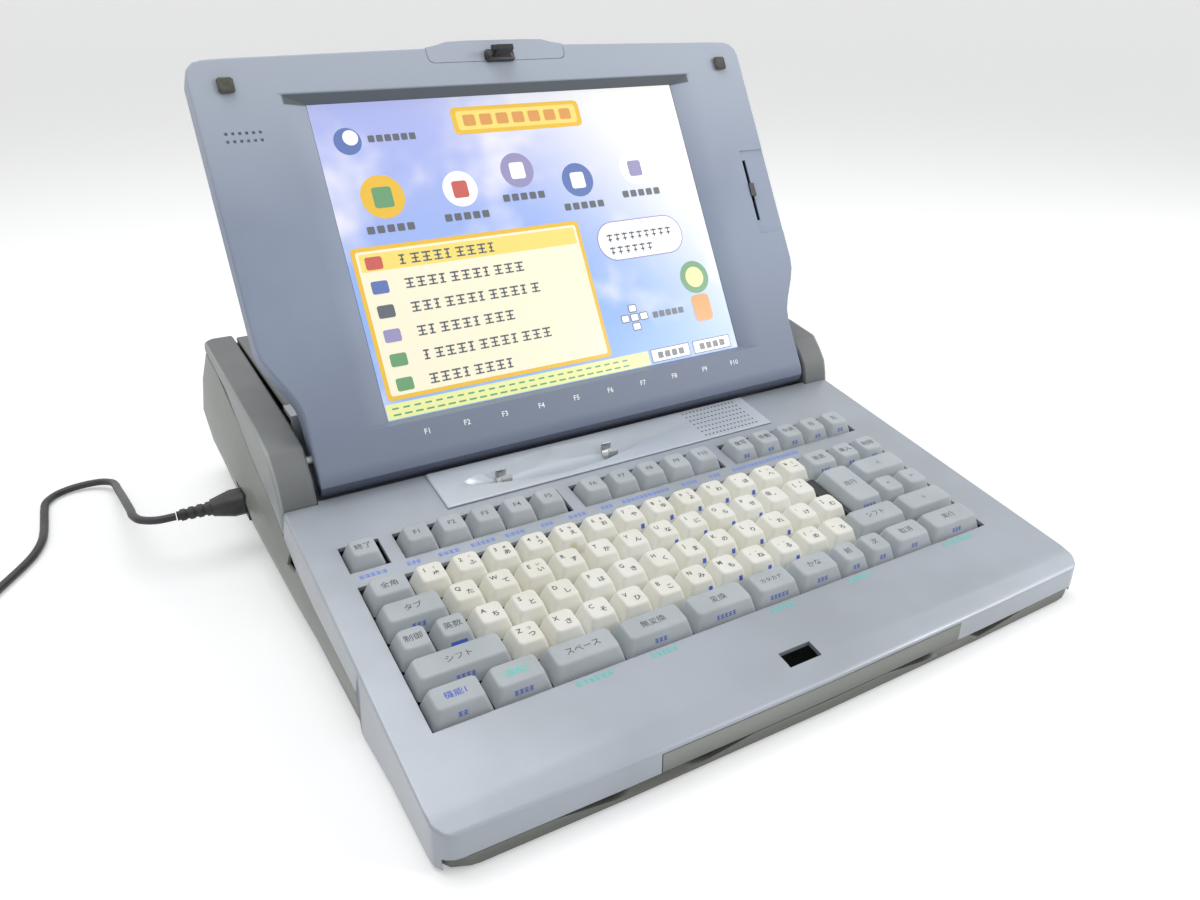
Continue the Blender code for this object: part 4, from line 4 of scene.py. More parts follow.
import bmesh
import bpy
import numpy as np
from bpy.props import FloatProperty, FloatVectorProperty, PointerProperty
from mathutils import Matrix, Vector

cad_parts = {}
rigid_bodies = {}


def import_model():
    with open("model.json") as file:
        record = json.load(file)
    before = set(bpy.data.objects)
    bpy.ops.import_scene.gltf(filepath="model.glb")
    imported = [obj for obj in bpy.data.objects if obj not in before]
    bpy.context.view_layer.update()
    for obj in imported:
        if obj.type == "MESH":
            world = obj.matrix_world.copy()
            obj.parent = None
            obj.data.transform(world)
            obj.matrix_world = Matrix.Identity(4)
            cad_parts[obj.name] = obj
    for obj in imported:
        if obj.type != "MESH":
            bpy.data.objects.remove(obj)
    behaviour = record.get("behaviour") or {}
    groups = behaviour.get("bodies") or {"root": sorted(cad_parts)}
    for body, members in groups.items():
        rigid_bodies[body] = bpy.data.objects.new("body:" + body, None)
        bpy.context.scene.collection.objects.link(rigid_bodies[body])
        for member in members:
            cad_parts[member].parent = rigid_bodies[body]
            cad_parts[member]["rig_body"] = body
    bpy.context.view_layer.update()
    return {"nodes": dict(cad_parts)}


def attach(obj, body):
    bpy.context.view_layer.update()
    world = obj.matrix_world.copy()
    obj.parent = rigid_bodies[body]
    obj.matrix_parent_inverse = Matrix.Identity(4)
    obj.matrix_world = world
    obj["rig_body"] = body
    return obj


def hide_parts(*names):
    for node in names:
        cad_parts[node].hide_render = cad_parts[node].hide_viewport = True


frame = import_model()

bl_info = {
    "name": "Portable word processor",
    "version": (1, 0, 0),
    "blender": (4, 5, 0),
    "location": "3D View > Sidebar > Word processor",
    "description": "Dresses the packed model of a portable word processor with a hinged lid",
    "category": "Add Mesh",
}

# Frames of the model, in metres and radians
DECK_ORIGIN = (-0.13865, -0.0730, 0.0500)
DECK_TILT = math.radians(9.04)
LID_AXIS = (0.0, 0.0250, 0.0763)
LID_TILT = math.radians(90.0 - 30.06)
LID_FACE = 0.0091

# Levels on the sloping deck, down from the key tops
DECK_LEVEL = -0.0060
TRAY_LEVEL = -0.0045

# Print stands a little off its surface, and the layers of the screen's picture are a step apart
PRINT_LIFT = 0.00006
LAYER = 0.00004
# What the strokes of letters gain on each side
BOLD = 0.00007
LABEL_BOLD = 0.00006
HALF_BOLD = 0.00004
FINE = 0.00001
# Corner and half width of the strokes in made-up signs
STROKE_CORNER = 0.0001
HALF_STROKE = 0.0002

# Camera's place, turn to the right and fall, and the table's half width
CAMERA_PLACE = (-0.2644, -0.4519, 0.3075)
CAMERA_TURN = math.radians(30.24)
CAMERA_FALL = math.radians(26.05)
TABLE_REACH = 60.0

# Lamps: place, the point that each one faces, side, and share of the main lamp's power
LAMPS = (
    ("lamp_overhead", (-0.25, 0.35, 1.30), (0.0, 0.0, 0.05), 1.1, 1.0),
    ("lamp_side", (1.10, -0.50, 0.75), (0.0, 0.0, 0.05), 0.8, 0.5),
    ("lamp_front", (0.86, -0.96, 0.70), (0.0, -0.2, 0.03), 0.3, 0.42),
)

# Where one tone passes into the next: no share at the first figure, all of it at the second
COVER_FRONT = (0.0100, -0.0150)
COVER_SIDE = (0.1888, 0.1902)
# Painted shade low on the lower case, next to the table
CASE_FOOT_SHADE = (0.0170, 0.0040)
# Painted light and shade on the lid: paler at the top, darker lower down and dark on its rounded lower edge
LID_TOP_PAINTED_LIGHT = (0.17, 0.28)
LID_LOW_PAINTED_SHADE = (0.16, 0.07)
LID_EDGE_PAINTED_SHADE = (0.0652, 0.0640)
SLOPE_FOOT = (0.1945, 0.1955)
SLOPE_HEAD = (0.2010, 0.2000)
SLOPE_SIDES = (0.1370, 0.1355)
STAIN_EDGE = (0.0050, 0.0025)
# Place of the yellowed spot along the sloping deck
STAIN_PLACE = (0.0755, -0.0105, -0.0030)

# Screen's lower left corner on the lid, and its depth below the lid's face
SCREEN_LEFT = -0.1230
SCREEN_LOW = 0.0110
SCREEN_DEPTH = 0.0050

# F1 to F10 on the lid: middle of the first, step, height of the letters, height on the lid
LABEL_START, LABEL_STEP, LABEL_SIZE, LABEL_RISE = -0.1036, 0.02408, 0.0044, 0.0008

# Key tops: inset of the dish, and where the letters stand from the middle
TOP_INSET = 0.0008
LATIN_OFFSET = (-0.0030, 0.0020)
SYLLABLE_OFFSET = (0.0020, -0.0018)
SHIFTED_OFFSET = (0.0020, 0.0024)
MARK_OFFSET = 0.0040

# Loudspeaker's holes: first one, steps, counts and radius
GRILLE_START, GRILLE_STEP, GRILLE_COUNT, HOLE_RADIUS = (0.2040, 0.0540), (0.00286, 0.0044), (15, 7), 0.00068

# Key rows, in pitches: left edge, width, row, rows covered
LETTER_ROWS = {
    "keys_digits": (-0.5, 13, 0), "keys_upper": (0.0, 12, 1),
    "keys_home": (0.25, 12, 2), "keys_lower": (0.75, 11, 3),
}
GREY_KEYS = {
    "key_top_left": ((-1.75, 1.25, 0, 1),),
    "key_tab": ((-1.75, 1.75, 1, 1),),
    "keys_lock": ((-1.75, 1.0, 2, 1), (-0.75, 1.0, 2, 1)),
    "key_shift_left": ((-1.75, 2.5, 3, 1),),
    "keys_mode": ((-1.75, 1.5, 4, 1), (-0.25, 1.5, 4, 1)),
    "key_space": ((1.25, 2.0, 4, 1),),
    "keys_bottom": (
        (3.25, 2.0, 4, 1), (5.25, 2.0, 4, 1), (7.25, 1.5, 4, 1), (8.75, 1.5, 4, 1),
        (10.25, 1.0, 4, 1), (11.25, 1.0, 4, 1), (12.25, 1.5, 4, 1)),
    "keys_enter": ((12.5, 1.25, 0, 1), (12.5, 1.25, 1, 2)),
    "key_shift_right": ((11.75, 2.0, 3, 1),),
    "keys_right": (
        (13.75, 1.0, 0, 1), (14.75, 1.0, 0, 1), (13.75, 2.0, 1, 1),
        (13.75, 1.0, 2, 1), (14.75, 1.0, 2, 1), (13.75, 2.0, 3, 1), (13.75, 2.0, 4, 1)),
}
FUNCTION_ROW = -1.685
FUNCTION_KEYS = {
    "keys_function_left": (-1.75, -0.25, 0.75, 1.75, 2.75, 3.75),
    "keys_function_right": (5.25, 6.25, 7.25, 8.25, 9.25),
    "keys_edit": (10.75, 11.75, 12.75, 13.75, 14.75),
}

# Letters, syllable signs and upper signs of the standard key layout
LETTERS = {
    "keys_digits": ("1234567890-^¥", "ぬふあうえおやゆよわほへー", "!\"#$%&'()  ~|"),
    "keys_upper": ("QWERTYUIOP@[", "たていすかんなにらせ゛゜", "  ぃ        「"),
    "keys_home": ("ASDFGHJKL;:]", "ちとしはきくまのりれけむ", ""),
    "keys_lower": ("ZXCVBNM,./_", "つさそひこみもねるめろ", "っ      、。・ "),
}

# Route of the cord over the table, first point at the strain relief
CORD_ROUTE = (
    (-0.2367, 0.0850, 0.0310), (-0.2468, 0.0859, 0.0309), (-0.2549, 0.0919, 0.0304),
    (-0.2581, 0.1014, 0.0293), (-0.2586, 0.1116, 0.0277), (-0.2591, 0.1218, 0.0258),
    (-0.2597, 0.1320, 0.0236), (-0.2602, 0.1422, 0.0211), (-0.2607, 0.1525, 0.0186),
    (-0.2612, 0.1627, 0.0160), (-0.2618, 0.1729, 0.0134), (-0.2623, 0.1831, 0.0109),
    (-0.2628, 0.1933, 0.0086), (-0.2647, 0.2033, 0.0065), (-0.2709, 0.2112, 0.0049),
    (-0.2802, 0.2152, 0.0036), (-0.2904, 0.2149, 0.0029), (-0.2993, 0.2102, 0.0027),
    (-0.3049, 0.2017, 0.0027), (-0.3063, 0.1917, 0.0027), (-0.3068, 0.1814, 0.0027),
    (-0.3073, 0.1712, 0.0027), (-0.3079, 0.1610, 0.0027), (-0.3091, 0.1509, 0.0027),
    (-0.3116, 0.1410, 0.0027), (-0.3153, 0.1315, 0.0027), (-0.3203, 0.1225, 0.0027),
    (-0.3258, 0.1139, 0.0027), (-0.3314, 0.1054, 0.0027), (-0.3369, 0.0968, 0.0027),
    (-0.3429, 0.0885, 0.0027), (-0.3491, 0.0804, 0.0027), (-0.3554, 0.0723, 0.0027),
    (-0.3616, 0.0642, 0.0027), (-0.3666, 0.0553, 0.0027), (-0.3696, 0.0455, 0.0027),
    (-0.3712, 0.0354, 0.0027), (-0.3728, 0.0253, 0.0026), (-0.37437, 0.01524, 0.0026),
)
COIL_CENTRE = (-0.4150, 0.0100)
COIL_INNER = 0.0190
COIL_STEP = 0.00555
COIL_TURNS = 3.75
COIL_LEAD = 0.0320
COIL_LIFT = 0.0026
PLUG_AXIS_HEIGHT = 0.0076
PLUG_LENGTH = 0.0323


# Colour and nodes

def linear(hexadecimal):
    """Linear red, green, blue and alpha of an sRGB colour such as "aab4be"."""
    parts = np.array([int(hexadecimal[i:i + 2], 16) for i in (0, 2, 4)]) / 255.0
    low = parts / 12.92
    high = ((parts + 0.055) / 1.055) ** 2.4
    return (*np.where(parts <= 0.04045, low, high).tolist(), 1.0)


def add(tree, kind, inputs=None, **settings):
    """One node: settings are its own properties, inputs are values or sockets by name or number."""
    made = tree.nodes.new("ShaderNode" + kind)
    for key, value in settings.items():
        setattr(made, key, value)
    for key, value in (inputs or {}).items():
        if isinstance(value, bpy.types.NodeSocket):
            tree.links.new(value, made.inputs[key])
        else:
            made.inputs[key].default_value = value
    return made


def new_material(name):
    """A material with its shader, ready for the pattern nodes."""
    material = bpy.data.materials.get(name) or bpy.data.materials.new(name)
    material.use_nodes = True
    tree = material.node_tree
    tree.nodes.clear()
    shader = add(tree, "BsdfPrincipled")
    add(tree, "OutputMaterial", {"Surface": shader.outputs[0]})
    return material, tree, shader


def blend_colours(tree, share, first, second):
    """Socket of the colour between two colours or sockets, by a share."""
    mix = add(tree, "Mix", {0: share, 6: first, 7: second}, data_type="RGBA")
    return mix.outputs[2]


def band(tree, value, low, high):
    """Socket that rises from 0 at low to 1 at high, smoothly."""
    made = add(tree, "MapRange", {"Value": value, "From Min": low, "From Max": high},
               interpolation_type="SMOOTHSTEP")
    return made.outputs[0]


def place_of(tree):
    """Socket of a point's place in its object's own frame."""
    return add(tree, "TexCoord").outputs["Object"]


def axes_of(tree):
    """Sockets of that place's x, y and z."""
    return tuple(add(tree, "SeparateXYZ", {0: place_of(tree)}).outputs)


def maths(tree, operation, *values):
    """Socket of an operation on numbers or sockets."""
    return add(tree, "Math", dict(enumerate(values)), operation=operation).outputs[0]


def speckle(tree, where, size, detail=2.0):
    """Noise socket whose blotches are about size metres across."""
    noise = add(tree, "TexNoise", {"Vector": where, "Scale": 1.0 / size, "Detail": detail, "Roughness": 0.55})
    return noise.outputs["Fac"]


def relief(tree, height, depth, edge=0.0):
    """Normal socket of a height pattern of that depth in metres, with softened edges."""
    inputs = {"Height": height, "Distance": depth, "Strength": 1.0}
    if edge:
        inputs["Normal"] = add(tree, "Bevel", {"Radius": edge}, samples=4).outputs[0]
    return add(tree, "Bump", inputs).outputs[0]


def moulded(name, colour, worn, roughness, grain=0.0006, depth=0.00002, patch=0.05, edge=0.0005,
            metallic=0.0, coat=0.0):
    """Moulded plastic: two close tones in soft patches, fine spark texture and softened edges."""
    material, tree, shader = new_material(name)
    where = place_of(tree)
    patches = speckle(tree, where, patch, 3.0)
    grains = speckle(tree, where, grain, 1.0)
    tone = blend_colours(tree, band(tree, patches, 0.35, 0.68), colour, worn)
    fleck = blend_colours(tree, band(tree, grains, 0.60, 0.85), tone, worn)
    tree.links.new(fleck, shader.inputs["Base Color"])
    rough = add(tree, "MapRange", {"Value": grains, "To Min": roughness - 0.05, "To Max": roughness + 0.08})
    tree.links.new(rough.outputs[0], shader.inputs["Roughness"])
    tree.links.new(relief(tree, grains, depth, edge), shader.inputs["Normal"])
    shader.inputs["Metallic"].default_value = metallic
    shader.inputs["Coat Weight"].default_value = coat
    shader.inputs["Coat Roughness"].default_value = 0.22
    return material


def surface_of(material):
    """Node tree, colour input and present colour socket of a material, for further tones on top."""
    tree = material.node_tree
    base = next(n for n in tree.nodes if n.type == "BSDF_PRINCIPLED").inputs["Base Color"]
    return tree, base, base.links[0].from_socket


def sheet_steel(name, colour, roughness=0.35, along=0):
    """Rolled steel or brass: fine lines along one axis, as the rolls leave them."""
    material, tree, shader = new_material(name)
    stretch = [1.0, 1.0, 1.0]
    stretch[along] = 0.05
    lines = add(tree, "Mapping", {"Vector": place_of(tree), "Scale": stretch}).outputs[0]
    grains = speckle(tree, lines, 0.0004)
    darker = tuple(c * 0.72 for c in colour[:3]) + (1.0,)
    tree.links.new(blend_colours(tree, grains, darker, colour), shader.inputs["Base Color"])
    rough = add(tree, "MapRange", {"Value": grains, "To Min": roughness - 0.08, "To Max": roughness + 0.12})
    tree.links.new(rough.outputs[0], shader.inputs["Roughness"])
    tree.links.new(relief(tree, grains, 0.00001, 0.0003), shader.inputs["Normal"])
    shader.inputs["Metallic"].default_value = 1.0
    return material


def printed(name, colour, glow=0.0):
    """Pad-printed ink: one colour, a little broken where the pad lifted, matt."""
    material, tree, shader = new_material(name)
    paler = tuple(min(1.0, c * 1.12 + 0.02) for c in colour[:3]) + (1.0,)
    ink = blend_colours(tree, speckle(tree, place_of(tree), 0.0008), colour, paler)
    tree.links.new(ink, shader.inputs["Base Color"])
    shader.inputs["Roughness"].default_value = 0.6
    if glow:
        tree.links.new(ink, shader.inputs["Emission Color"])
        shader.inputs["Emission Strength"].default_value = glow
    return material


# Shapes

def on_deck(points):
    """Points given along the sloping deck, as points of the model: turned about X, then moved."""
    return turned_about_x(points, DECK_TILT, DECK_ORIGIN)


def on_lid(points):
    """Points given on the lid at rest, y up the lid and z out of its face, as points of the model."""
    return turned_about_x(points, LID_TILT, LID_AXIS)


def turned_about_x(points, angle, origin):
    """(x, y, z) goes to (x, y cos a - z sin a, y sin a + z cos a) + origin."""
    x, y, z = np.moveaxis(np.asarray(points, float), -1, 0)
    sine, cosine = math.sin(angle), math.cos(angle)
    return np.stack((x, y * cosine - z * sine, y * sine + z * cosine), axis=-1) + np.array(origin)


def make_piece(name, vertices, faces, material, body, smooth=30.0):
    """A piece from arrays of points and faces, with edges sharper than smooth degrees kept sharp."""
    mesh = bpy.data.meshes.new(name)
    mesh.from_pydata(np.asarray(vertices).reshape(-1, 3).tolist(), [], faces)
    return place_piece(name, mesh, material, body, smooth)


def place_piece(name, mesh, materials, body, smooth):
    """A piece from a mesh, with one material or a list of them, riding on its body."""
    mesh.validate()
    mesh.shade_smooth()
    mesh.set_sharp_from_angle(angle=math.radians(smooth))
    piece = bpy.data.objects.new(name, mesh)
    bpy.context.scene.collection.objects.link(piece)
    for material in materials if isinstance(materials, (list, tuple)) else (materials,):
        mesh.materials.append(material)
    if body:
        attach(piece, body)
    return piece


def shell_faces(count, rings, columns):
    """Faces of count closed shells: quads between neighbouring rings, and one face on each end."""
    base = np.arange(count)[:, None, None] * rings * columns
    ring = np.arange(rings - 1)[None, :, None] * columns
    column = np.arange(columns)[None, None, :]
    after = (column + 1) % columns
    quads = np.stack(np.broadcast_arrays(
        base + ring + column, base + ring + after,
        base + ring + columns + after, base + ring + columns + column), axis=-1)
    ends = np.arange(count)[:, None] * rings * columns + np.arange(columns)[None, :]
    return quads.reshape(-1, 4).tolist() + ends[:, ::-1].tolist() + (ends + (rings - 1) * columns).tolist()


def rounded_rectangle(left, right, front, back, radius, points):
    """Corners on quarter circles: x and y arrays, counter-clockwise, for arrays of rectangles."""
    left, right, front, back, radius = np.broadcast_arrays(*[
        np.asarray(v, float)[..., None, None] for v in (left, right, front, back, radius)])
    quarter = np.linspace(0.0, math.pi / 2, points)
    angle = (np.arange(4)[:, None] - 1) * math.pi / 2 + quarter[None, :]
    east = np.array([True, True, False, False])[:, None]
    north = np.array([False, True, True, False])[:, None]
    x = np.where(east, right - radius, left + radius) + radius * np.cos(angle)
    y = np.where(north, back - radius, front + radius) + radius * np.sin(angle)
    shape = x.shape[:-2] + (4 * points,)
    return x.reshape(shape), y.reshape(shape)


def tube_along(path, width, thickness, columns, groove):
    """A tube round a path: at each point an oval across the path, level with the table.

    Round the section's angle a it is (w cos a, t sin a (1 - groove |sin a| ** 10)) / 2.
    """
    ahead = np.gradient(path, axis=0)
    ahead /= np.linalg.norm(ahead, axis=1)[:, None]
    side = np.cross(ahead, (0.0, 0.0, 1.0))
    side /= np.linalg.norm(side, axis=1)[:, None]
    up = np.cross(side, ahead)
    angle = np.linspace(0.0, 2 * math.pi, columns, endpoint=False)
    across = np.cos(angle) * width / 2
    over = np.sin(angle) * thickness / 2 * (1.0 - groove * np.abs(np.sin(angle)) ** 10)
    ring = side[:, None, :] * across[None, :, None] + up[:, None, :] * over[None, :, None]
    return path[:, None, :] + ring, shell_faces(1, len(path), columns)


def merged_copy(node):
    """The CAD node's mesh with its loose triangles joined."""
    bm = bmesh.new()
    bm.from_mesh(frame["nodes"][node].data)
    bmesh.ops.remove_doubles(bm, verts=bm.verts, dist=0.000002)
    bmesh.ops.dissolve_limit(bm, angle_limit=math.radians(0.5), verts=bm.verts, edges=bm.edges)
    mesh = bpy.data.meshes.new(node + "_skin")
    bm.to_mesh(mesh)
    bm.free()
    return mesh


def skin(node, material, smooth):
    """A smooth-shaded skin in place of a CAD node, of the same shape.

    The large faces weigh most at their corners, so they stay even beside small roundings.
    """
    body = frame["nodes"][node]["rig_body"]
    piece = place_piece(node + "_skin", merged_copy(node), material, body, smooth)
    weighted = piece.modifiers.new("even_faces", "WEIGHTED_NORMAL")
    weighted.keep_sharp = True
    weighted.weight = 100
    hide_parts(node)
    return piece


def skins(*rows):
    """Skins for several nodes: each row has a material, the angle of its sharp edges and the nodes."""
    for material, smooth, *nodes in rows:
        for node in nodes:
            skin(node, material, smooth)


def coat_node(node, material):
    """A CAD node that keeps its own shape gets a better material."""
    slots = frame["nodes"][node].data.materials
    slots.clear()
    slots.append(material)


def text_mesh(words, size, weight):
    """Points and faces of one line of letters, flat, centred on its own middle."""
    curve = bpy.data.curves.new("letters", "FONT")
    curve.body = words
    curve.size = size
    curve.resolution_u = 2
    curve.align_x = "CENTER"
    curve.align_y = "CENTER"
    curve.offset = weight
    holder = bpy.data.objects.new("letters", curve)
    bpy.context.scene.collection.objects.link(holder)
    bpy.context.view_layer.update()
    graph = bpy.context.evaluated_depsgraph_get()
    mesh = bpy.data.meshes.new_from_object(holder.evaluated_get(graph), depsgraph=graph)
    points = np.zeros(len(mesh.vertices) * 3)
    mesh.vertices.foreach_get("co", points)
    faces = [tuple(face.vertices) for face in mesh.polygons]
    bpy.data.objects.remove(holder)
    bpy.data.curves.remove(curve)
    bpy.data.meshes.remove(mesh)
    return points.reshape(-1, 3), faces


class Sheet:
    """Flat print gathered into one mesh: letters, bars and blocks on one surface."""

    def __init__(self):
        self.points, self.faces, self.count = [], [], 0

    def put(self, points, faces):
        """More points, and faces numbered from the first of them."""
        points = np.asarray(points, float).reshape(-1, 3)
        self.points.append(points)
        self.faces += [tuple(i + self.count for i in face) for face in faces]
        self.count += len(points)

    def letters(self, words, size, place, weight):
        """One line of letters, laid by the function place."""
        points, faces = text_mesh(words, size, weight)
        self.put(place(points), faces)

    def block(self, left, right, front, back, place, radius=0.0003, points=3):
        """A filled rectangle with round corners, laid by the function place."""
        x, y = rounded_rectangle(left, right, front, back, radius, points)
        self.put(place(np.stack((x, y, np.zeros_like(x)), axis=-1)), [tuple(range(4 * points))])

    def sign(self, left, right, rows, upright, place):
        """A made-up sign: level bars and one upright stroke."""
        for low, high in rows:
            self.block(left, right, low, high, place, STROKE_CORNER)
        left, right = upright - HALF_STROKE, upright + HALF_STROKE
        self.block(left, right, rows[0][0], rows[-1][1], place, STROKE_CORNER)

    def finish(self, name, material, body):
        """The piece that all of it makes."""
        return make_piece(name, np.vstack(self.points), self.faces, material, body)


# Sizes and colours that a user would change

def colour_setting(name, description, colour):
    """A colour that the panel shows, given as an sRGB code."""
    return FloatVectorProperty(name=name, description=description, subtype="COLOR", size=4, min=0.0, max=1.0,
                               default=linear(colour))


def length_setting(name, description, length):
    """A length that the panel shows, in metres."""
    return FloatProperty(name=name, description=description, unit="LENGTH", default=length)


class WordProcessorFinish(bpy.types.PropertyGroup):
    """Colours of the moulded parts."""
    case: colour_setting("Case", "Silver blue-grey of the case and deck", "a9b0ba")
    lid: colour_setting("Lid", "Blue-grey of the lid", "97a3b9")
    cheeks: colour_setting("Hinge covers", "Dark grey beside and behind the lid", "7a7d7e")
    light_keys: colour_setting("Letter keys", "Off-white of the letter keys", "edede6")
    grey_keys: colour_setting("Other keys", "Grey of the other keys", "b9c0c5")
    cord: colour_setting("Cord", "Black of the cord and plugs", "232224")


class WordProcessorKeys(bpy.types.PropertyGroup):
    """Sizes of the key caps."""
    pitch: length_setting("Pitch", "Distance between neighbouring keys", 0.01905)
    space: length_setting("Space", "Gap between neighbouring caps", 0.00065)
    height: length_setting("Height", "Height of a cap", 0.0095)
    side_draw: length_setting("Side draw", "How far each side draws in to the top", 0.0029)
    back_draw: length_setting("Back draw", "How far the back draws in to the top", 0.0020)
    front_draw: length_setting("Front draw", "How far the front draws in to the top", 0.0036)
    dish: length_setting("Dish", "Depth of the hollow in a key top", 0.00045)
    letter: length_setting("Letter", "Height of the letters on the keys", 0.0038)


class WordProcessorScreen(bpy.types.PropertyGroup):
    """Sizes of the screen."""
    width: length_setting("Width", "Lit width", 0.2460)
    height: length_setting("Height", "Lit height", 0.1845)
    glow: FloatProperty(name="Glow", description="Strength of the back light", default=0.34, min=0.0)


class WordProcessorCord(bpy.types.PropertyGroup):
    """Sizes of the mains lead."""
    width: length_setting("Width", "Width of the twin cord", 0.0050)
    thickness: length_setting("Thickness", "Thickness of the twin cord", 0.0046)


class WordProcessorStage(bpy.types.PropertyGroup):
    """Camera and lights."""
    lens: FloatProperty(name="Lens", description="Focal length", subtype="DISTANCE_CAMERA", default=28.42)
    world: FloatProperty(name="Sky", description="Strength of the even light", default=0.43, min=0.0)
    lamp: FloatProperty(
        name="Lamp", description="Power of the large lamp overhead", unit="POWER", default=8.0)
    white: FloatProperty(
        name="White", description="Light that the table gives to the camera", default=0.34, min=0.0)
    floor: colour_setting("Floor", "Colour of the table", "f2f3f4")


# Stage and cord

def area_lamp(name, place, towards, size, power):
    """A soft square lamp that faces a point."""
    data = bpy.data.lights.new(name, "AREA")
    data.size = size
    data.energy = power
    lamp = bpy.data.objects.new(name, data)
    lamp.location = place
    lamp.rotation_euler = (Vector(towards) - Vector(place)).to_track_quat("-Z", "Y").to_euler()
    bpy.context.scene.collection.objects.link(lamp)


def seen_directly(tree):
    """Socket that is 1 for what the camera, a mirror or a glass shows, and 0 for lighting."""
    path = add(tree, "LightPath")
    mirror = maths(tree, "MAXIMUM", path.outputs["Is Camera Ray"], path.outputs["Is Glossy Ray"])
    return maths(tree, "MAXIMUM", mirror, path.outputs["Is Transmission Ray"])


class WORDPROCESSOR_OT_stage(bpy.types.Operator):
    """Camera at the picture's angle, pale table, even sky and a large soft lamp"""
    bl_idname = "wordprocessor.stage"
    bl_label = "Stage"

    def execute(self, context):
        sizes = context.scene.wordprocessor_stage
        camera = bpy.data.objects.new("camera", bpy.data.cameras.new("camera"))
        camera.data.sensor_width = 36.0
        camera.data.lens = sizes.lens
        camera.data.clip_start = 0.01
        level = math.cos(CAMERA_FALL)
        ahead = Vector((math.sin(CAMERA_TURN) * level, math.cos(CAMERA_TURN) * level, -math.sin(CAMERA_FALL)))
        camera.location = CAMERA_PLACE
        camera.rotation_euler = ahead.to_track_quat("-Z", "Y").to_euler()
        context.scene.collection.objects.link(camera)
        context.scene.camera = camera
        world = bpy.data.worlds.new("even_sky")
        context.scene.world = world
        world.use_nodes = True
        tree = world.node_tree
        tree.nodes.clear()
        strength = add(tree, "MapRange", {"Value": seen_directly(tree), "To Min": sizes.world, "To Max": 1.0})
        sky = add(tree, "Background", {"Color": linear("ffffff"), "Strength": strength.outputs[0]})
        add(tree, "OutputWorld", {"Surface": sky.outputs[0]})
        for name, place, towards, size, share in LAMPS:
            area_lamp(name, place, towards, size, sizes.lamp * share)
        self.make_floor(sizes)
        context.scene.view_settings.view_transform = "Standard"
        return {"FINISHED"}

    def make_floor(self, sizes):
        """Table top: painted board, level with the feet, bright where only the camera looks."""
        material, tree, shader = new_material("painted_table_top")
        greyer = tuple(c * 0.97 for c in sizes.floor[:3]) + (1.0,)
        tone = blend_colours(tree, speckle(tree, place_of(tree), 0.25), tuple(sizes.floor), greyer)
        tree.links.new(tone, shader.inputs["Base Color"])
        shader.inputs["Roughness"].default_value = 0.7
        shader.inputs["Specular IOR Level"].default_value = 0.2
        glow = maths(tree, "MULTIPLY", seen_directly(tree), sizes.white)
        shader.inputs["Emission Color"].default_value = linear("ffffff")
        tree.links.new(glow, shader.inputs["Emission Strength"])
        corners = [(x * TABLE_REACH, y * TABLE_REACH, 0.0) for x, y in ((-1, -1), (1, -1), (1, 1), (-1, 1))]
        floor = make_piece("table_top", corners, [(0, 1, 2, 3)], material, None)


def cord_path():
    """The cord's centre: a smooth curve through the route, the coil in two layers and the plug's lead.

    Between two points of the route the curve is the cubic that keeps the slopes of its neighbours.
    In the coil the radius falls with the turn, has its least half a turn later, and grows again on top.
    """
    given = np.array(CORD_ROUTE)
    padded = np.vstack((2 * given[0] - given[1], given, 2 * given[-1] - given[-2]))
    a, b, c, d = (padded[i:i + len(given) - 1][:, None, :] for i in range(4))
    t = np.linspace(0.0, 1.0, 6, endpoint=False)[None, :, None]
    run = 0.5 * (2 * b + (c - a) * t + (2 * a - 5 * b + 4 * c - d) * t ** 2
                 + (3 * b - a - 3 * c + d) * t ** 3).reshape(-1, 3)
    outer = COIL_INNER + COIL_TURNS * COIL_STEP
    turn = np.linspace(0.0, COIL_TURNS, 151)
    half = np.linspace(0.0, 0.5, 21)[1:-1]
    turns = np.concatenate((turn, COIL_TURNS + half, COIL_TURNS + 0.5 + turn))
    radius = np.concatenate((
        outer - turn * COIL_STEP, COIL_INNER + COIL_STEP * (2 * half * half - half),
        COIL_INNER + turn * COIL_STEP))
    height = COIL_LIFT + np.concatenate((
        np.zeros(len(turn)), (1 - np.cos(half * 2 * math.pi)) / 2 * COIL_STEP, np.full(len(turn), COIL_STEP)))
    angle = -2 * math.pi * turns
    coil = np.column_stack((
        COIL_CENTRE[0] + radius * np.cos(angle), COIL_CENTRE[1] + radius * np.sin(angle), height))
    flat = coil[-1] - coil[-2]
    flat[2] = 0.0
    flat /= np.linalg.norm(flat)
    share = np.linspace(0.0, 1.0, 9)[1:, None]
    lead = coil[-1] + flat * share * COIL_LEAD
    lead[:, 2] = height[-1] + (PLUG_AXIS_HEIGHT - height[-1]) * share[:, 0]
    return np.vstack((run, coil, lead)), lead[-1], flat


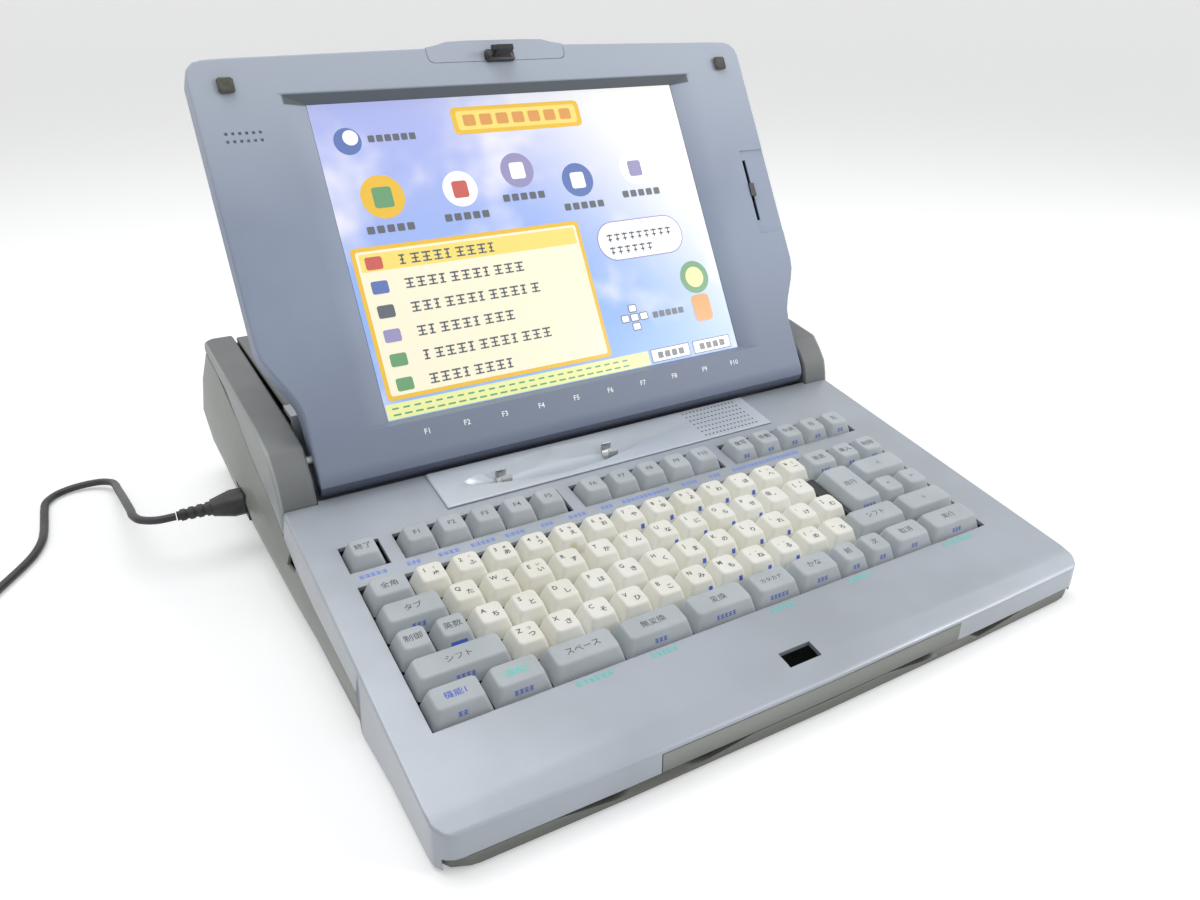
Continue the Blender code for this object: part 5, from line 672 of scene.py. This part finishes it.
class WORDPROCESSOR_OT_cord(bpy.types.Operator):
    """Mains lead from the inlet over the table, with its coil and its two-pin plug"""
    bl_idname = "wordprocessor.cord"
    bl_label = "Mains lead"

    def execute(self, context):
        sizes, finish = context.scene.wordprocessor_cord, context.scene.wordprocessor_finish
        black = tuple(finish.cord)
        # Soft vinyl: near black, a dull sheen and a slightly wavy skin
        vinyl = moulded("soft_vinyl_cord", black, linear("38373a"), 0.42, 0.004, 0.00004, 0.02, 0.0)
        # Moulded vinyl plugs: fine matt texture
        plug_black = moulded("moulded_vinyl_plug", black, linear("3a3a3c"), 0.5, 0.0005, patch=0.01,
                             edge=0.0004)
        # Plated brass blades: bright, a little yellow
        blade_metal = sheet_steel("plated_brass_blade", linear("c9c2ac"), 0.25)
        path, end, along = cord_path()
        points, faces = tube_along(path, sizes.width, sizes.thickness, 18, 0.14)
        cord = make_piece("mains_cord", points, faces, vinyl, "base", 60.0)
        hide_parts("cord_run", "cord_coil")
        skin("power_plug", plug_black, 50.0)
        plug = skin("mains_plug", [plug_black, blade_metal], 40.0)
        face = end + along * PLUG_LENGTH
        centres = np.zeros(len(plug.data.polygons) * 3)
        plug.data.polygons.foreach_get("center", centres)
        beyond = (centres.reshape(-1, 3) - face) @ along > 0.0001
        plug.data.polygons.foreach_set("material_index", beyond.astype(np.int32))
        return {"FINISHED"}


# Case, lid and inner parts

class WORDPROCESSOR_OT_case(bpy.types.Operator):
    """Case halves, handle, feet, hinge covers and the printer's cover"""
    bl_idname = "wordprocessor.case"
    bl_label = "Case"

    def execute(self, context):
        finish = context.scene.wordprocessor_finish
        # Painted ABS: fine metallic paint under a satin lacquer, in two close tones
        satin = {"roughness": 0.38, "depth": 0.000008, "patch": 0.09, "metallic": 0.30, "coat": 0.55}
        paint = moulded("painted_abs_case", tuple(finish.case), linear("9da4ab"), **satin)
        # The separate pen tray panel is a shade paler than the deck: a painted highlight where the panel
        # catches the light
        panel = moulded("painted_abs_tray_panel_painted_highlight", linear("c4ccd5"), linear("b8c0c8"), **satin)
        # The lower case has a thinner, duller coat, with a slight olive cast
        lower = moulded("painted_abs_lower_case", linear("91948f"), linear("858882"), 0.45, depth=0.000012,
                        patch=0.09, metallic=0.15, coat=0.05)
        # Bare moulded ABS: dark grey with a coarser spark texture
        cover = moulded("moulded_abs_hinge_cover", tuple(finish.cheeks), linear("6f7273"), 0.5, 0.0008,
                        0.00003)
        self.pale_sides(cover)
        # Painted shade darkens the lower case towards its foot
        self.painted_foot_shade(lower)
        # Rubber feet: near black and quite dull; spring clips: brushed grey steel
        rubber = moulded("moulded_rubber_foot", linear("2a2a2b"), linear("343435"), 0.8, 0.001, 0.00003)
        steel = sheet_steel("spring_steel_clip", linear("b9bbbc"), 0.3, 2)
        skins((paint, 32.0, "top_case"), (panel, 32.0, "pen_tray"),
              (lower, 32.0, "bottom_case", "carry_handle"),
              (cover, 40.0, "cheek_left", "cheek_right", "printer_cover"),
              (rubber, 40.0, "foot_front_left", "foot_front_right", "foot_rear_left", "foot_rear_right"),
              (steel, 40.0, "pen_clip_left", "pen_clip_right"))
        return {"FINISHED"}

    def pale_sides(self, material):
        """The covers' outer sides keep the pale tone of the case; their low front ends are a little paler."""
        tree, base, tone = surface_of(material)
        x, y = axes_of(tree)[:2]
        tone = blend_colours(tree, band(tree, y, *COVER_FRONT), tone, linear("9098a2"))
        side = band(tree, maths(tree, "ABSOLUTE", x), *COVER_SIDE)
        tree.links.new(blend_colours(tree, side, tone, linear("a6aaa9")), base)

    def painted_foot_shade(self, material):
        """Painted shade: the lower case darkens towards its foot, next to the table."""
        tree, base, tone = surface_of(material)
        foot = band(tree, axes_of(tree)[2], *CASE_FOOT_SHADE)
        tree.links.new(blend_colours(tree, foot, tone, linear("6a6c67")), base)


class WORDPROCESSOR_OT_lid(bpy.types.Operator):
    """Lid halves, latch, bumpers and brightness slider"""
    bl_idname = "wordprocessor.lid"
    bl_label = "Lid"

    def execute(self, context):
        # Moulded ABS: blue-grey and matt, with painted light that makes it paler at the top, and painted
        # shade that darkens it lower down and makes its rounded lower edge dark
        finish = context.scene.wordprocessor_finish
        shell = moulded("moulded_abs_lid", tuple(finish.lid), linear("8a95ac"), 0.48, 0.0007, patch=0.12)
        tree, base, tone = surface_of(shell)
        x, y, z = axes_of(tree)
        # Painted light at the top, painted shade lower down and on the rounded lower edge
        for edges, colour in ((LID_TOP_PAINTED_LIGHT, "b4bdcb"), (LID_LOW_PAINTED_SHADE, "808a9f"), (LID_EDGE_PAINTED_SHADE, "4b5163")):
            tone = blend_colours(tree, band(tree, z, *edges), tone, linear(colour))
        tree.links.new(tone, base)
        # The outside of the lid keeps the same painted light and shade
        outside = shell.copy()
        outside.name = "moulded_abs_lid_outside"
        # Shaded slope over the screen: a band up the lid, y cos a + z sin a from its axis
        rise = maths(tree, "MULTIPLY", maths(tree, "ADD", z, -LID_AXIS[2]), math.sin(LID_TILT))
        run = maths(tree, "ADD", y, -LID_AXIS[1])
        along = maths(tree, "MULTIPLY_ADD", run, math.cos(LID_TILT), rise)
        share = maths(tree, "MULTIPLY", band(tree, along, *SLOPE_FOOT), band(tree, along, *SLOPE_HEAD))
        share = maths(tree, "MULTIPLY", share, band(tree, maths(tree, "ABSOLUTE", x), *SLOPE_SIDES))
        tree.links.new(blend_colours(tree, share, tone, linear("5d656c")), base)
        # Acetal: black with a low sheen; bumpers: grey-brown rubber, dull
        black = moulded("moulded_acetal_latch", linear("1c1c1f"), linear("242428"), 0.35, 0.0008, 0.00001)
        rubber = moulded("moulded_rubber_bumper", linear("5d5d55"), linear("4b4b46"), 0.75, 0.001, 0.00003,
                         0.004)
        skins((outside, 32.0, "lid_cover"), (shell, 32.0, "lid_bezel", "latch_panel"),
              (black, 32.0, "brightness_slider"), (black, 40.0, "lid_latch"),
              (rubber, 40.0, "bumper_left", "bumper_right"))
        self.make_labels()
        return {"FINISHED"}

    def make_labels(self):
        """F1 to F10 under the screen, pad-printed in pale grey, with a faint painted glow."""
        # The print glows a little with no lamp behind it: painted light
        pale = printed("pad_print_pale_painted_glow", linear("f0f3fa"), 0.12)
        sheet = Sheet()
        for number in range(10):
            corner = (LABEL_START + LABEL_STEP * number, LABEL_RISE, LID_FACE + PRINT_LIFT)
            sheet.letters("F%d" % (number + 1), LABEL_SIZE, lambda p, c=corner: on_lid(p + c), LABEL_BOLD)
        sheet.finish("lid_key_numbers", pale, "lid")


class WORDPROCESSOR_OT_inside(bpy.types.Operator):
    """Board, supply, drive, printer and hinges"""
    bl_idname = "wordprocessor.inside"
    bl_label = "Inner parts"

    def execute(self, context):
        # Rolled steel and turned brass: fine lines and a metal sheen
        steel = sheet_steel("rolled_steel_frame", linear("b4b6b7"))
        brass = sheet_steel("turned_brass_pinion", linear("c2a35c"), 0.3)
        # Black ABS, milky acetal, dull ground rubber, green board, grey button, and black paint on the
        # keyboard plate, whose near black also stands in for painted shade between the keys
        dark = moulded("moulded_abs_black", linear("222225"), linear("2c2c30"), 0.5, 0.0007)
        white = moulded("moulded_acetal_gear", linear("e4e3da"), linear("d6d5ca"), 0.4, 0.0008)
        rubber = moulded("ground_rubber_roller", linear("262627"), linear("303031"), 0.7, 0.0012, 0.00002)
        board = moulded("glass_epoxy_board", linear("1c5a34"), linear("174c2c"), 0.4, 0.002, 0.00002, 0.01)
        plate = moulded("painted_steel_plate", linear("2b2c2e"), linear("333436"), 0.5, 0.001)
        grey = moulded("moulded_abs_button", linear("a8adb1"), linear("9ea3a6"), 0.5)
        finishes = (
            (steel, "hinge_left", "hinge_right", "floppy_drive", "printer_frame", "carriage_rail",
             "feed_motor"),
            (brass, "motor_pinion"), (white, "feed_gear"), (rubber, "platen_roller"), (grey, "eject_button"),
            (dark, "ac_inlet", "power_switch", "print_carriage", "ribbon_cassette", "speaker"),
            (board, "main_board", "power_supply"), (plate, "keyboard_plate"),
        )
        for material, *nodes in finishes:
            for node in nodes:
                coat_node(node, material)
        return {"FINISHED"}


# Screen

class WORDPROCESSOR_OT_screen(bpy.types.Operator):
    """Lit screen with a plain menu: sky, title, round signs, list and note"""
    bl_idname = "wordprocessor.screen"
    bl_label = "Screen"

    def execute(self, context):
        sizes = context.scene.wordprocessor_screen
        # Dark frame of the panel, seen as a thin shadow line round the lit part
        coat_node("lcd_panel", moulded("moulded_abs_screen_frame", linear("3a3d46"), linear("32343c"), 0.4))
        self.level = LID_FACE - SCREEN_DEPTH + PRINT_LIFT
        self.make_sky(sizes)
        self.make_menu(sizes)
        return {"FINISHED"}

    def place(self, layer):
        """Function that lays flat points on the screen, millimetres from its lower left corner."""
        level = self.level + layer * LAYER
        return lambda p: on_lid(p * 0.001 * (1, 1, 0) + (SCREEN_LEFT, SCREEN_LOW, level))

    def make_sky(self, sizes):
        """Liquid-crystal sheet: a pale sky, bluer below, with a painted reflection of glare that whitens the
        upper right corner.
        """
        material, tree, shader = new_material("liquid_crystal_sky")
        x, y, z = axes_of(tree)
        cloud = band(tree, speckle(tree, place_of(tree), 0.07, 3.0), 0.45, 0.72)
        tone = blend_colours(tree, band(tree, z, 0.12, 0.25), linear("8fb0e8"), linear("a9b1e4"))
        tone = blend_colours(tree, cloud, tone, linear("ece9f2"))
        # Painted reflection: glare whitens the upper right corner
        corner = band(tree, maths(tree, "ADD", x, z), 0.16, 0.33)
        tone = blend_colours(tree, corner, tone, linear("eeeeec"))
        tree.links.new(tone, shader.inputs["Base Color"])
        tree.links.new(tone, shader.inputs["Emission Color"])
        shader.inputs["Emission Strength"].default_value = sizes.glow
        shader.inputs["Roughness"].default_value = 0.25
        corners = on_lid([(x * sizes.width, SCREEN_LOW + y * sizes.height, self.level - LAYER)
                          for x, y in ((-0.5, 0), (0.5, 0), (0.5, 1), (-0.5, 1))])
        make_piece("screen_sheet", corners, [(0, 1, 2, 3)], material, "lid")

    def make_menu(self, sizes):
        """Blocks and bars of the menu, one piece for each colour."""
        colours = {
            "gold": "dcb23c", "cream": "e9e3c9", "white": "eceeee", "ink": "5b6068", "orange": "cf9350",
            "green": "64946a", "red": "bd5a54", "blue": "5a70a8", "mauve": "8f8ab0", "lime": "dbe09c",
            "amber": "e6d070",
        }
        sheets = {name: Sheet() for name in colours}

        def block(colour, layer, left, right, low, high, radius=1.0, points=3):
            sheets[colour].block(left, right, low, high, self.place(layer), radius, points)

        def disc(colour, layer, x, y, radius):
            block(colour, layer, x - radius, x + radius, y - radius, y + radius, radius * 0.999, 10)

        def bars(colour, layer, left, step, count, wide, low, high, radius):
            for i in range(count):
                block(colour, layer, left + i * step, left + i * step + wide, low, high, radius)

        # Title plate with bars
        block("gold", 1, 84, 172, 161, 178, 3)
        block("amber", 2, 87, 169, 163.5, 175.5, 2)
        bars("orange", 3, 91, 11, 7, 8, 166, 173, 1)
        # Round signs with a bar below each
        signs = (("gold", "green", 30, 128, 13), ("white", "red", 78, 128, 11),
                 ("mauve", "white", 118, 136, 11), ("blue", "white", 158, 126, 11),
                 ("white", "mauve", 202, 130, 11))
        for outer, inner, x, y, radius in signs:
            disc(outer, 1, x, y, radius)
            block(inner, 2, x - radius * 0.45, x + radius * 0.45, y - radius * 0.5, y + radius * 0.45, 1.5)
            bars("ink", 3, x - 14, 6, 5, 4.4, y - radius - 8, y - radius - 3.6, 0.6)
        disc("blue", 1, 18, 162, 8)
        disc("white", 2, 20, 164, 4.5)
        bars("ink", 3, 30, 5, 6, 3.8, 160.5, 164.5, 0.5)
        # List with a gold frame
        block("gold", 1, 3, 150, 11, 100, 2.5)
        block("cream", 2, 5.5, 147.5, 13.5, 97.5, 1.5)
        block("amber", 3, 7, 146, 85.5, 96, 1.0)
        lines = (("red", 9), ("blue", 11), ("ink", 12), ("mauve", 9), ("green", 12), ("green", 8))
        for row, (colour, count) in enumerate(lines):
            y = 87.5 - row * 14.2
            block(colour, 4, 10, 20, y - 1, y + 6.5, 1.2)
            for i in range(count):
                wide = 5.6 if (i * 7 + row * 3) % 4 else 3.6
                left = 30 + i * 7.0
                block("ink", 4, left, left + wide, y + 4.9, y + 5.9, 0.3)
                block("ink", 4, left + 0.4, left + wide - 0.8, y + 2.4, y + 3.3, 0.3)
                block("ink", 4, left, left + wide, y, y + 0.9, 0.3)
                block("ink", 4, left + wide / 2 - 0.5, left + wide / 2 + 0.5, y, y + 5.9, 0.3)
        # Note and keys on the right
        block("mauve", 2, 160.5, 225.5, 70.5, 96.5, 12.9, 8)
        block("white", 3, 161.2, 224.8, 71.2, 95.8, 12.2, 8)
        for count, low in ((9, 83.0), (6, 74.5)):
            bars("ink", 4, 168, 5.6, count, 4.2, low + 4, low + 5, 0.3)
            bars("ink", 4, 168.6, 5.6, count, 2.8, low + 1.2, low + 2.2, 0.3)
            bars("ink", 4, 169.6, 5.6, count, 0.8, low, low + 5.4, 0.3)
        disc("green", 3, 226, 52, 11)
        disc("lime", 4, 226, 52, 7)
        block("orange", 3, 219, 233, 22, 40, 3)
        for x, y in ((170, 36), (163, 30), (170, 30), (177, 30), (170, 24)):
            block("ink", 3, x, x + 6.2, y, y + 5.2, 0.8)
            block("white", 4, x + 0.6, x + 5.6, y + 0.6, y + 4.6, 0.5)
        bars("ink", 4, 187, 5, 5, 3.8, 30, 34, 0.5)
        # Two buttons and the bottom line
        for left, right in ((178, 208), (211, 241)):
            block("ink", 2, left, right, 1.2, 10, 0.5)
            block("white", 3, left + 0.6, right - 0.6, 1.8, 9.4, 0.4)
            bars("ink", 4, left + 5, 5.4, 4, 4, 3.4, 7.6, 0.5)
        block("lime", 1, 0.5, 176, 0.5, 9.5, 0.4)
        bars("green", 2, 4, 6.6, 24, 4.6, 2.4, 3.4, 0.3)
        bars("green", 2, 4, 6.6, 24, 4.0, 6.0, 7.0, 0.3)
        for name, sheet in sheets.items():
            material = printed("liquid_crystal_" + name, linear(colours[name]), sizes.glow)
            material.node_tree.nodes["Principled BSDF"].inputs["Roughness"].default_value = 0.25
            sheet.finish("screen_" + name, material, "lid")


# Keys

def cap_shells(keys, sizes):
    """Arrays of key caps: rings up the drawn-in sides, over a rounded edge and into a shallow dish.

    Ring by ring the rectangle goes from the foot's outline to the top's by a share of the height, its
    corners are quarter circles, and the top's height is -dish * (1 - (x / half width) ** 2).
    """
    left, right, front, back = np.array(keys, float).T
    # Share of the draw, share of the height, further inset
    steps = (
        (0.0, 0.0, 0.0), (0.45, 0.45, 0.0), (0.86, 0.86, 0.0), (0.95, 0.945, 0.00008), (0.99, 0.985, 0.0003),
        (1.0, 1.0, TOP_INSET))
    rings = []
    for draw, share, inset in steps:
        x, y = rounded_rectangle(
            left + sizes.side_draw * draw + inset, right - sizes.side_draw * draw - inset,
            front + sizes.front_draw * draw + inset, back - sizes.back_draw * draw - inset,
            0.0016 + 0.0008 * draw, 5)
        rings.append(np.stack((x, y, np.full_like(x, -sizes.height * (1 - share))), axis=-1))
    top = rings[-1]
    middle = np.stack(((left + right) / 2, (front + back) / 2, np.zeros_like(left)), axis=-1)[:, None, :]
    half = ((right - left) / 2 - sizes.side_draw - TOP_INSET)[:, None]
    for share in (0.8, 0.55, 0.25):
        ring = middle + (top - middle) * share
        ring[..., 2] = -sizes.dish * (1 - ((ring[..., 0] - middle[..., 0]) / half) ** 2)
        rings.append(ring)
    return np.stack(rings, axis=1)


def key_rectangle(start, width, row, rows, sizes):
    """Left, right, front and back of a cap's foot, from its place in the grid of keys."""
    left = start * sizes.pitch + sizes.space / 2
    right = (start + width) * sizes.pitch - sizes.space / 2
    back = (0.5 - row) * sizes.pitch - sizes.space / 2
    front = (0.5 - row - rows) * sizes.pitch + sizes.space / 2
    return left, right, front, back


def all_keys(sizes):
    """Name of each key group with its caps' rectangles."""
    groups = {}
    for name, (start, count, row) in LETTER_ROWS.items():
        groups[name] = [key_rectangle(start + i, 1.0, row, 1, sizes) for i in range(count)]
    for name, keys in GREY_KEYS.items():
        groups[name] = [key_rectangle(*key, sizes) for key in keys]
    for name, starts in FUNCTION_KEYS.items():
        groups[name] = [key_rectangle(start, 1.0, FUNCTION_ROW, 1, sizes) for start in starts]
    return groups


class WORDPROCESSOR_OT_keys(bpy.types.Operator):
    """Key caps in their groups, each on its own slide"""
    bl_idname = "wordprocessor.keys"
    bl_label = "Keys"

    def execute(self, context):
        sizes, finish = context.scene.wordprocessor_keys, context.scene.wordprocessor_finish
        # Moulded PBT: off-white, a little yellowed in patches, fine matt grain
        matt = (0.5, 0.0005, 0.00001, 0.03, 0.0)
        light = moulded("moulded_pbt_letter_key", tuple(finish.light_keys), linear("e8e7dc"), *matt)
        self.add_stain(light)
        grey = moulded("moulded_pbt_grey_key", tuple(finish.grey_keys), linear("b0b7bb"), *matt)
        for name, keys in all_keys(sizes).items():
            shells = cap_shells(keys, sizes)
            count, rings, columns = shells.shape[:3]
            material = light if name in LETTER_ROWS else grey
            faces = shell_faces(count, rings, columns)
            piece = make_piece(name + "_caps", on_deck(shells), faces, material, name, 50.0)
            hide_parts(name)
        return {"FINISHED"}

    def add_stain(self, material):
        """Yellowed spot on the front of one digit key."""
        tree, base, tone = surface_of(material)
        spot = on_deck(STAIN_PLACE).tolist()
        away = add(tree, "VectorMath", {0: place_of(tree), 1: spot}, operation="DISTANCE")
        stain = band(tree, away.outputs["Value"], *STAIN_EDGE)
        tree.links.new(blend_colours(tree, stain, tone, linear("c9b98a")), base)


class WORDPROCESSOR_OT_legends(bpy.types.Operator):
    """Letters on the keys and printed marks on the deck"""
    bl_idname = "wordprocessor.legends"
    bl_label = "Legends"

    def execute(self, context):
        sizes = context.scene.wordprocessor_keys
        dark = printed("sublimated_ink_grey", linear("4a4d4d"))
        blue = printed("sublimated_ink_blue", linear("4862c8"))
        light_blue = printed("pad_print_blue", linear("6f8fee"))
        teal = printed("pad_print_teal", linear("5fd6cd"))
        groups = all_keys(sizes)
        for name, signs in LETTERS.items():
            self.letter_row(name, signs, groups[name], sizes, dark)
        self.front_marks(groups, sizes, blue)
        self.word_keys(groups, sizes, dark, blue, teal)
        self.deck_marks(light_blue, teal)
        return {"FINISHED"}

    def top_place(self, key, sizes, offset=(0.0, 0.0)):
        """Function that lays flat letters on a key's dished top, offset from its middle."""
        left, right, front, back = key
        middle = (left + right) / 2
        centre = (front + sizes.front_draw + back - sizes.back_draw) / 2
        half = (right - left) / 2 - sizes.side_draw - TOP_INSET

        def place(points):
            x, y = points[:, 0] + offset[0], points[:, 1] + centre + offset[1]
            dish = -sizes.dish * np.clip(1 - (x / half) ** 2, 0.0, 1.0)
            return on_deck(np.column_stack((x + middle, y, dish + PRINT_LIFT)))
        return place

    def front_place(self, key, sizes, dx=0.0):
        """Function that lays flat letters half way up a key's sloping front, dx from its middle."""
        left, right, front, back = key
        slope = math.atan2(sizes.height, sizes.front_draw)
        reach = math.hypot(sizes.height, sizes.front_draw)

        def place(points):
            up = points[:, 1] + reach / 2
            y = front + up * math.cos(slope) - PRINT_LIFT * math.sin(slope)
            z = -sizes.height + up * math.sin(slope) + PRINT_LIFT * math.cos(slope)
            return on_deck(np.column_stack((points[:, 0] + (left + right) / 2 + dx, y, z)))
        return place

    def letter_row(self, name, signs, keys, sizes, dark):
        """Roman letter at the upper left, syllable sign below and upper sign above it on each cap."""
        sheet = Sheet()
        for key, letter, syllable in zip(keys, *signs[:2]):
            sheet.letters(letter, sizes.letter, self.top_place(key, sizes, LATIN_OFFSET), BOLD)
            sheet.letters(syllable, sizes.letter, self.top_place(key, sizes, SYLLABLE_OFFSET), BOLD)
        for key, sign in zip(keys, signs[2]):
            if sign.strip():
                place = self.top_place(key, sizes, SHIFTED_OFFSET)
                sheet.letters(sign, sizes.letter * 0.7, place, HALF_BOLD)
        sheet.finish(name + "_letters", dark, name)

    def front_marks(self, groups, sizes, blue):
        """Small blue squares on the fronts of the letter keys to the right."""
        first = {"keys_digits": 6, "keys_upper": 6, "keys_home": 6, "keys_lower": 5}
        for name, start in first.items():
            sheet = Sheet()
            for key in groups[name][start:-2]:
                sheet.block(-0.0011, 0.0011, -0.0014, 0.0014, self.front_place(key, sizes, MARK_OFFSET))
            sheet.finish(name + "_front_marks", blue, name)

    def word_keys(self, groups, sizes, dark, blue, teal):
        """Plain key names on the grey keys."""
        words = {
            "key_tab": ("タブ",), "keys_lock": ("制御", "英数"), "key_shift_left": ("シフト",),
            "key_space": ("スペース",),
            "keys_bottom": ("無変換", "変換", "カタカナ", "かな", "前", "次", "取消"),
            "keys_enter": ("後退", "改行"), "key_shift_right": ("シフト",),
            "keys_right": ("挿入", "削除", "∧", "<", ">", "∨", "実行"),
            "keys_function_left": ("終了", "F1", "F2", "F3", "F4", "F5"),
            "keys_function_right": ("F6", "F7", "F8", "F9", "F10"),
            "keys_edit": ("複写", "移動", "中央", "右", "左"), "key_top_left": ("全角",),
        }
        for name, labels in words.items():
            sheet = Sheet()
            for key, label in zip(groups[name], labels):
                size = sizes.letter * (1.2 if len(label) < 4 or key[1] - key[0] > 0.03 else 0.9)
                sheet.letters(label, size, self.top_place(key, sizes), FINE)
            sheet.finish(name + "_names", dark, name)
        for number, (colour, key) in enumerate(zip((blue, teal), groups["keys_mode"])):
            sheet, place = Sheet(), self.top_place(key, sizes)
            sheet.letters("機能%d" % (number + 1), sizes.letter * 1.15, place, HALF_BOLD)
            sheet.finish("keys_mode_name_%d" % (number + 1), colour, "keys_mode")
        self.front_words(groups, sizes, blue)
        sheet = Sheet()
        sheet.block(-0.0040, 0.0040, -0.0014, 0.0014, self.front_place(groups["keys_lock"][1], sizes))
        sheet.finish("keys_lock_bar", blue, "keys_lock")

    def front_words(self, groups, sizes, ink):
        """Rows of small strokes on the fronts of the wide grey keys: count of strokes for each key."""
        counts = {
            "key_shift_left": (4,), "keys_mode": (2, 4), "keys_bottom": (3, 5, 5, 3, 2, 2, 2),
            "key_tab": (3,), "keys_enter": (3, 4), "keys_right": (2, 2, 0, 0, 0, 0, 3),
            "keys_edit": (2, 2, 2, 2, 2),
        }
        levels = ((-0.0010, -0.0006), (-0.0001, 0.0003), (0.0008, 0.0012))
        for name, row in counts.items():
            sheet = Sheet()
            for key, count in zip(groups[name], row):
                for i in range(count):
                    left = (i - count / 2) * 0.0024
                    sheet.sign(left, left + 0.0020, levels, left + 0.0010, self.front_place(key, sizes))
            sheet.finish(name + "_front_words", ink, name)

    def deck_marks(self, light_blue, teal):
        """Short printed lines above and below the keys, as rows of small strokes."""
        rows = (
            ("deck_marks_blue", light_blue, 0.0170, (
                (-31.2, -16.8), (-6.8, 0.8), (10.0, 22.0), (28.0, 42.0), (47.5, 59.5), (68.8, 76.2),
                (85.8, 97.0), (106.2, 113.8), (120.0, 152.0), (160.5, 172.0), (180.5, 188.8),
                (197.5, 248.8))),
            ("deck_marks_teal", teal, -0.0900, (
                (32.0, 50.8), (71.2, 85.8), (141.8, 157.0), (193.8, 208.8), (263.8, 286.2))),
        )
        levels = ((0.0, 0.00045), (0.0010, 0.0014), (0.0020, 0.00245))
        for name, material, y, spans in rows:
            sheet = Sheet()
            for low, high in spans:
                count = max(2, round((high - low) / 2.9))
                step = (high - low) / count * 0.001
                wide = step * 0.84
                for i in range(count):
                    corner = (low * 0.001 + i * step, y - 0.0012, DECK_LEVEL + PRINT_LIFT)
                    upright = wide * (0.35 + 0.3 * ((i * 5) % 3) / 2)
                    sheet.sign(0.0, wide, levels, upright, lambda p: on_deck(p + corner))
            sheet.finish(name, material, "base")


class WORDPROCESSOR_OT_grille(bpy.types.Operator):
    """Holes of the loudspeaker's grille in the deck, as flat dark discs of painted shade"""
    bl_idname = "wordprocessor.grille"
    bl_label = "Grille"

    def execute(self, context):
        dark = printed("drilled_hole_shadow", linear("3a3e44"))
        column, row = np.meshgrid(*[np.arange(count) for count in GRILLE_COUNT])
        x = (GRILLE_START[0] + column * GRILLE_STEP[0]).reshape(-1, 1)
        y = (GRILLE_START[1] + row * GRILLE_STEP[1]).reshape(-1, 1)
        angle = np.linspace(0.0, 2 * math.pi, 8, endpoint=False)
        east, north = HOLE_RADIUS * np.cos(angle), HOLE_RADIUS * np.sin(angle)
        points = np.stack(np.broadcast_arrays(x + east, y + north, TRAY_LEVEL + PRINT_LIFT), axis=-1)
        faces = np.arange(len(x) * 8).reshape(-1, 8).tolist()
        make_piece("grille_holes", on_deck(points), faces, dark, "base")
        return {"FINISHED"}


OPERATORS = (
    WORDPROCESSOR_OT_stage, WORDPROCESSOR_OT_cord, WORDPROCESSOR_OT_case, WORDPROCESSOR_OT_lid,
    WORDPROCESSOR_OT_inside, WORDPROCESSOR_OT_screen, WORDPROCESSOR_OT_keys, WORDPROCESSOR_OT_legends,
    WORDPROCESSOR_OT_grille,
)


class WORDPROCESSOR_PT_panel(bpy.types.Panel):
    """Sizes, colours and makers of the word processor"""
    bl_label = "Word processor"
    bl_idname = "WORDPROCESSOR_PT_panel"
    bl_space_type = "VIEW_3D"
    bl_region_type = "UI"
    bl_category = "Word processor"

    def draw(self, context):
        layout = self.layout
        for name, kind in GROUPS.items():
            box = layout.box()
            settings = getattr(context.scene, name)
            for key in kind.__annotations__:
                box.prop(settings, key)
        for operator in OPERATORS:
            layout.operator(operator.bl_idname)


GROUPS = {
    "wordprocessor_finish": WordProcessorFinish,
    "wordprocessor_keys": WordProcessorKeys,
    "wordprocessor_screen": WordProcessorScreen,
    "wordprocessor_cord": WordProcessorCord,
    "wordprocessor_stage": WordProcessorStage,
}


def register():
    for kind in (*GROUPS.values(), *OPERATORS, WORDPROCESSOR_PT_panel):
        bpy.utils.register_class(kind)
    for name, kind in GROUPS.items():
        setattr(bpy.types.Scene, name, PointerProperty(type=kind))


def unregister():
    for name in GROUPS:
        delattr(bpy.types.Scene, name)
    for kind in reversed((*GROUPS.values(), *OPERATORS, WORDPROCESSOR_PT_panel)):
        bpy.utils.unregister_class(kind)


def main():
    """Makes every piece in order."""
    register()
    for operator in OPERATORS:
        group, name = operator.bl_idname.split(".")
        getattr(getattr(bpy.ops, group), name)()


if __name__ == "__main__":
    main()
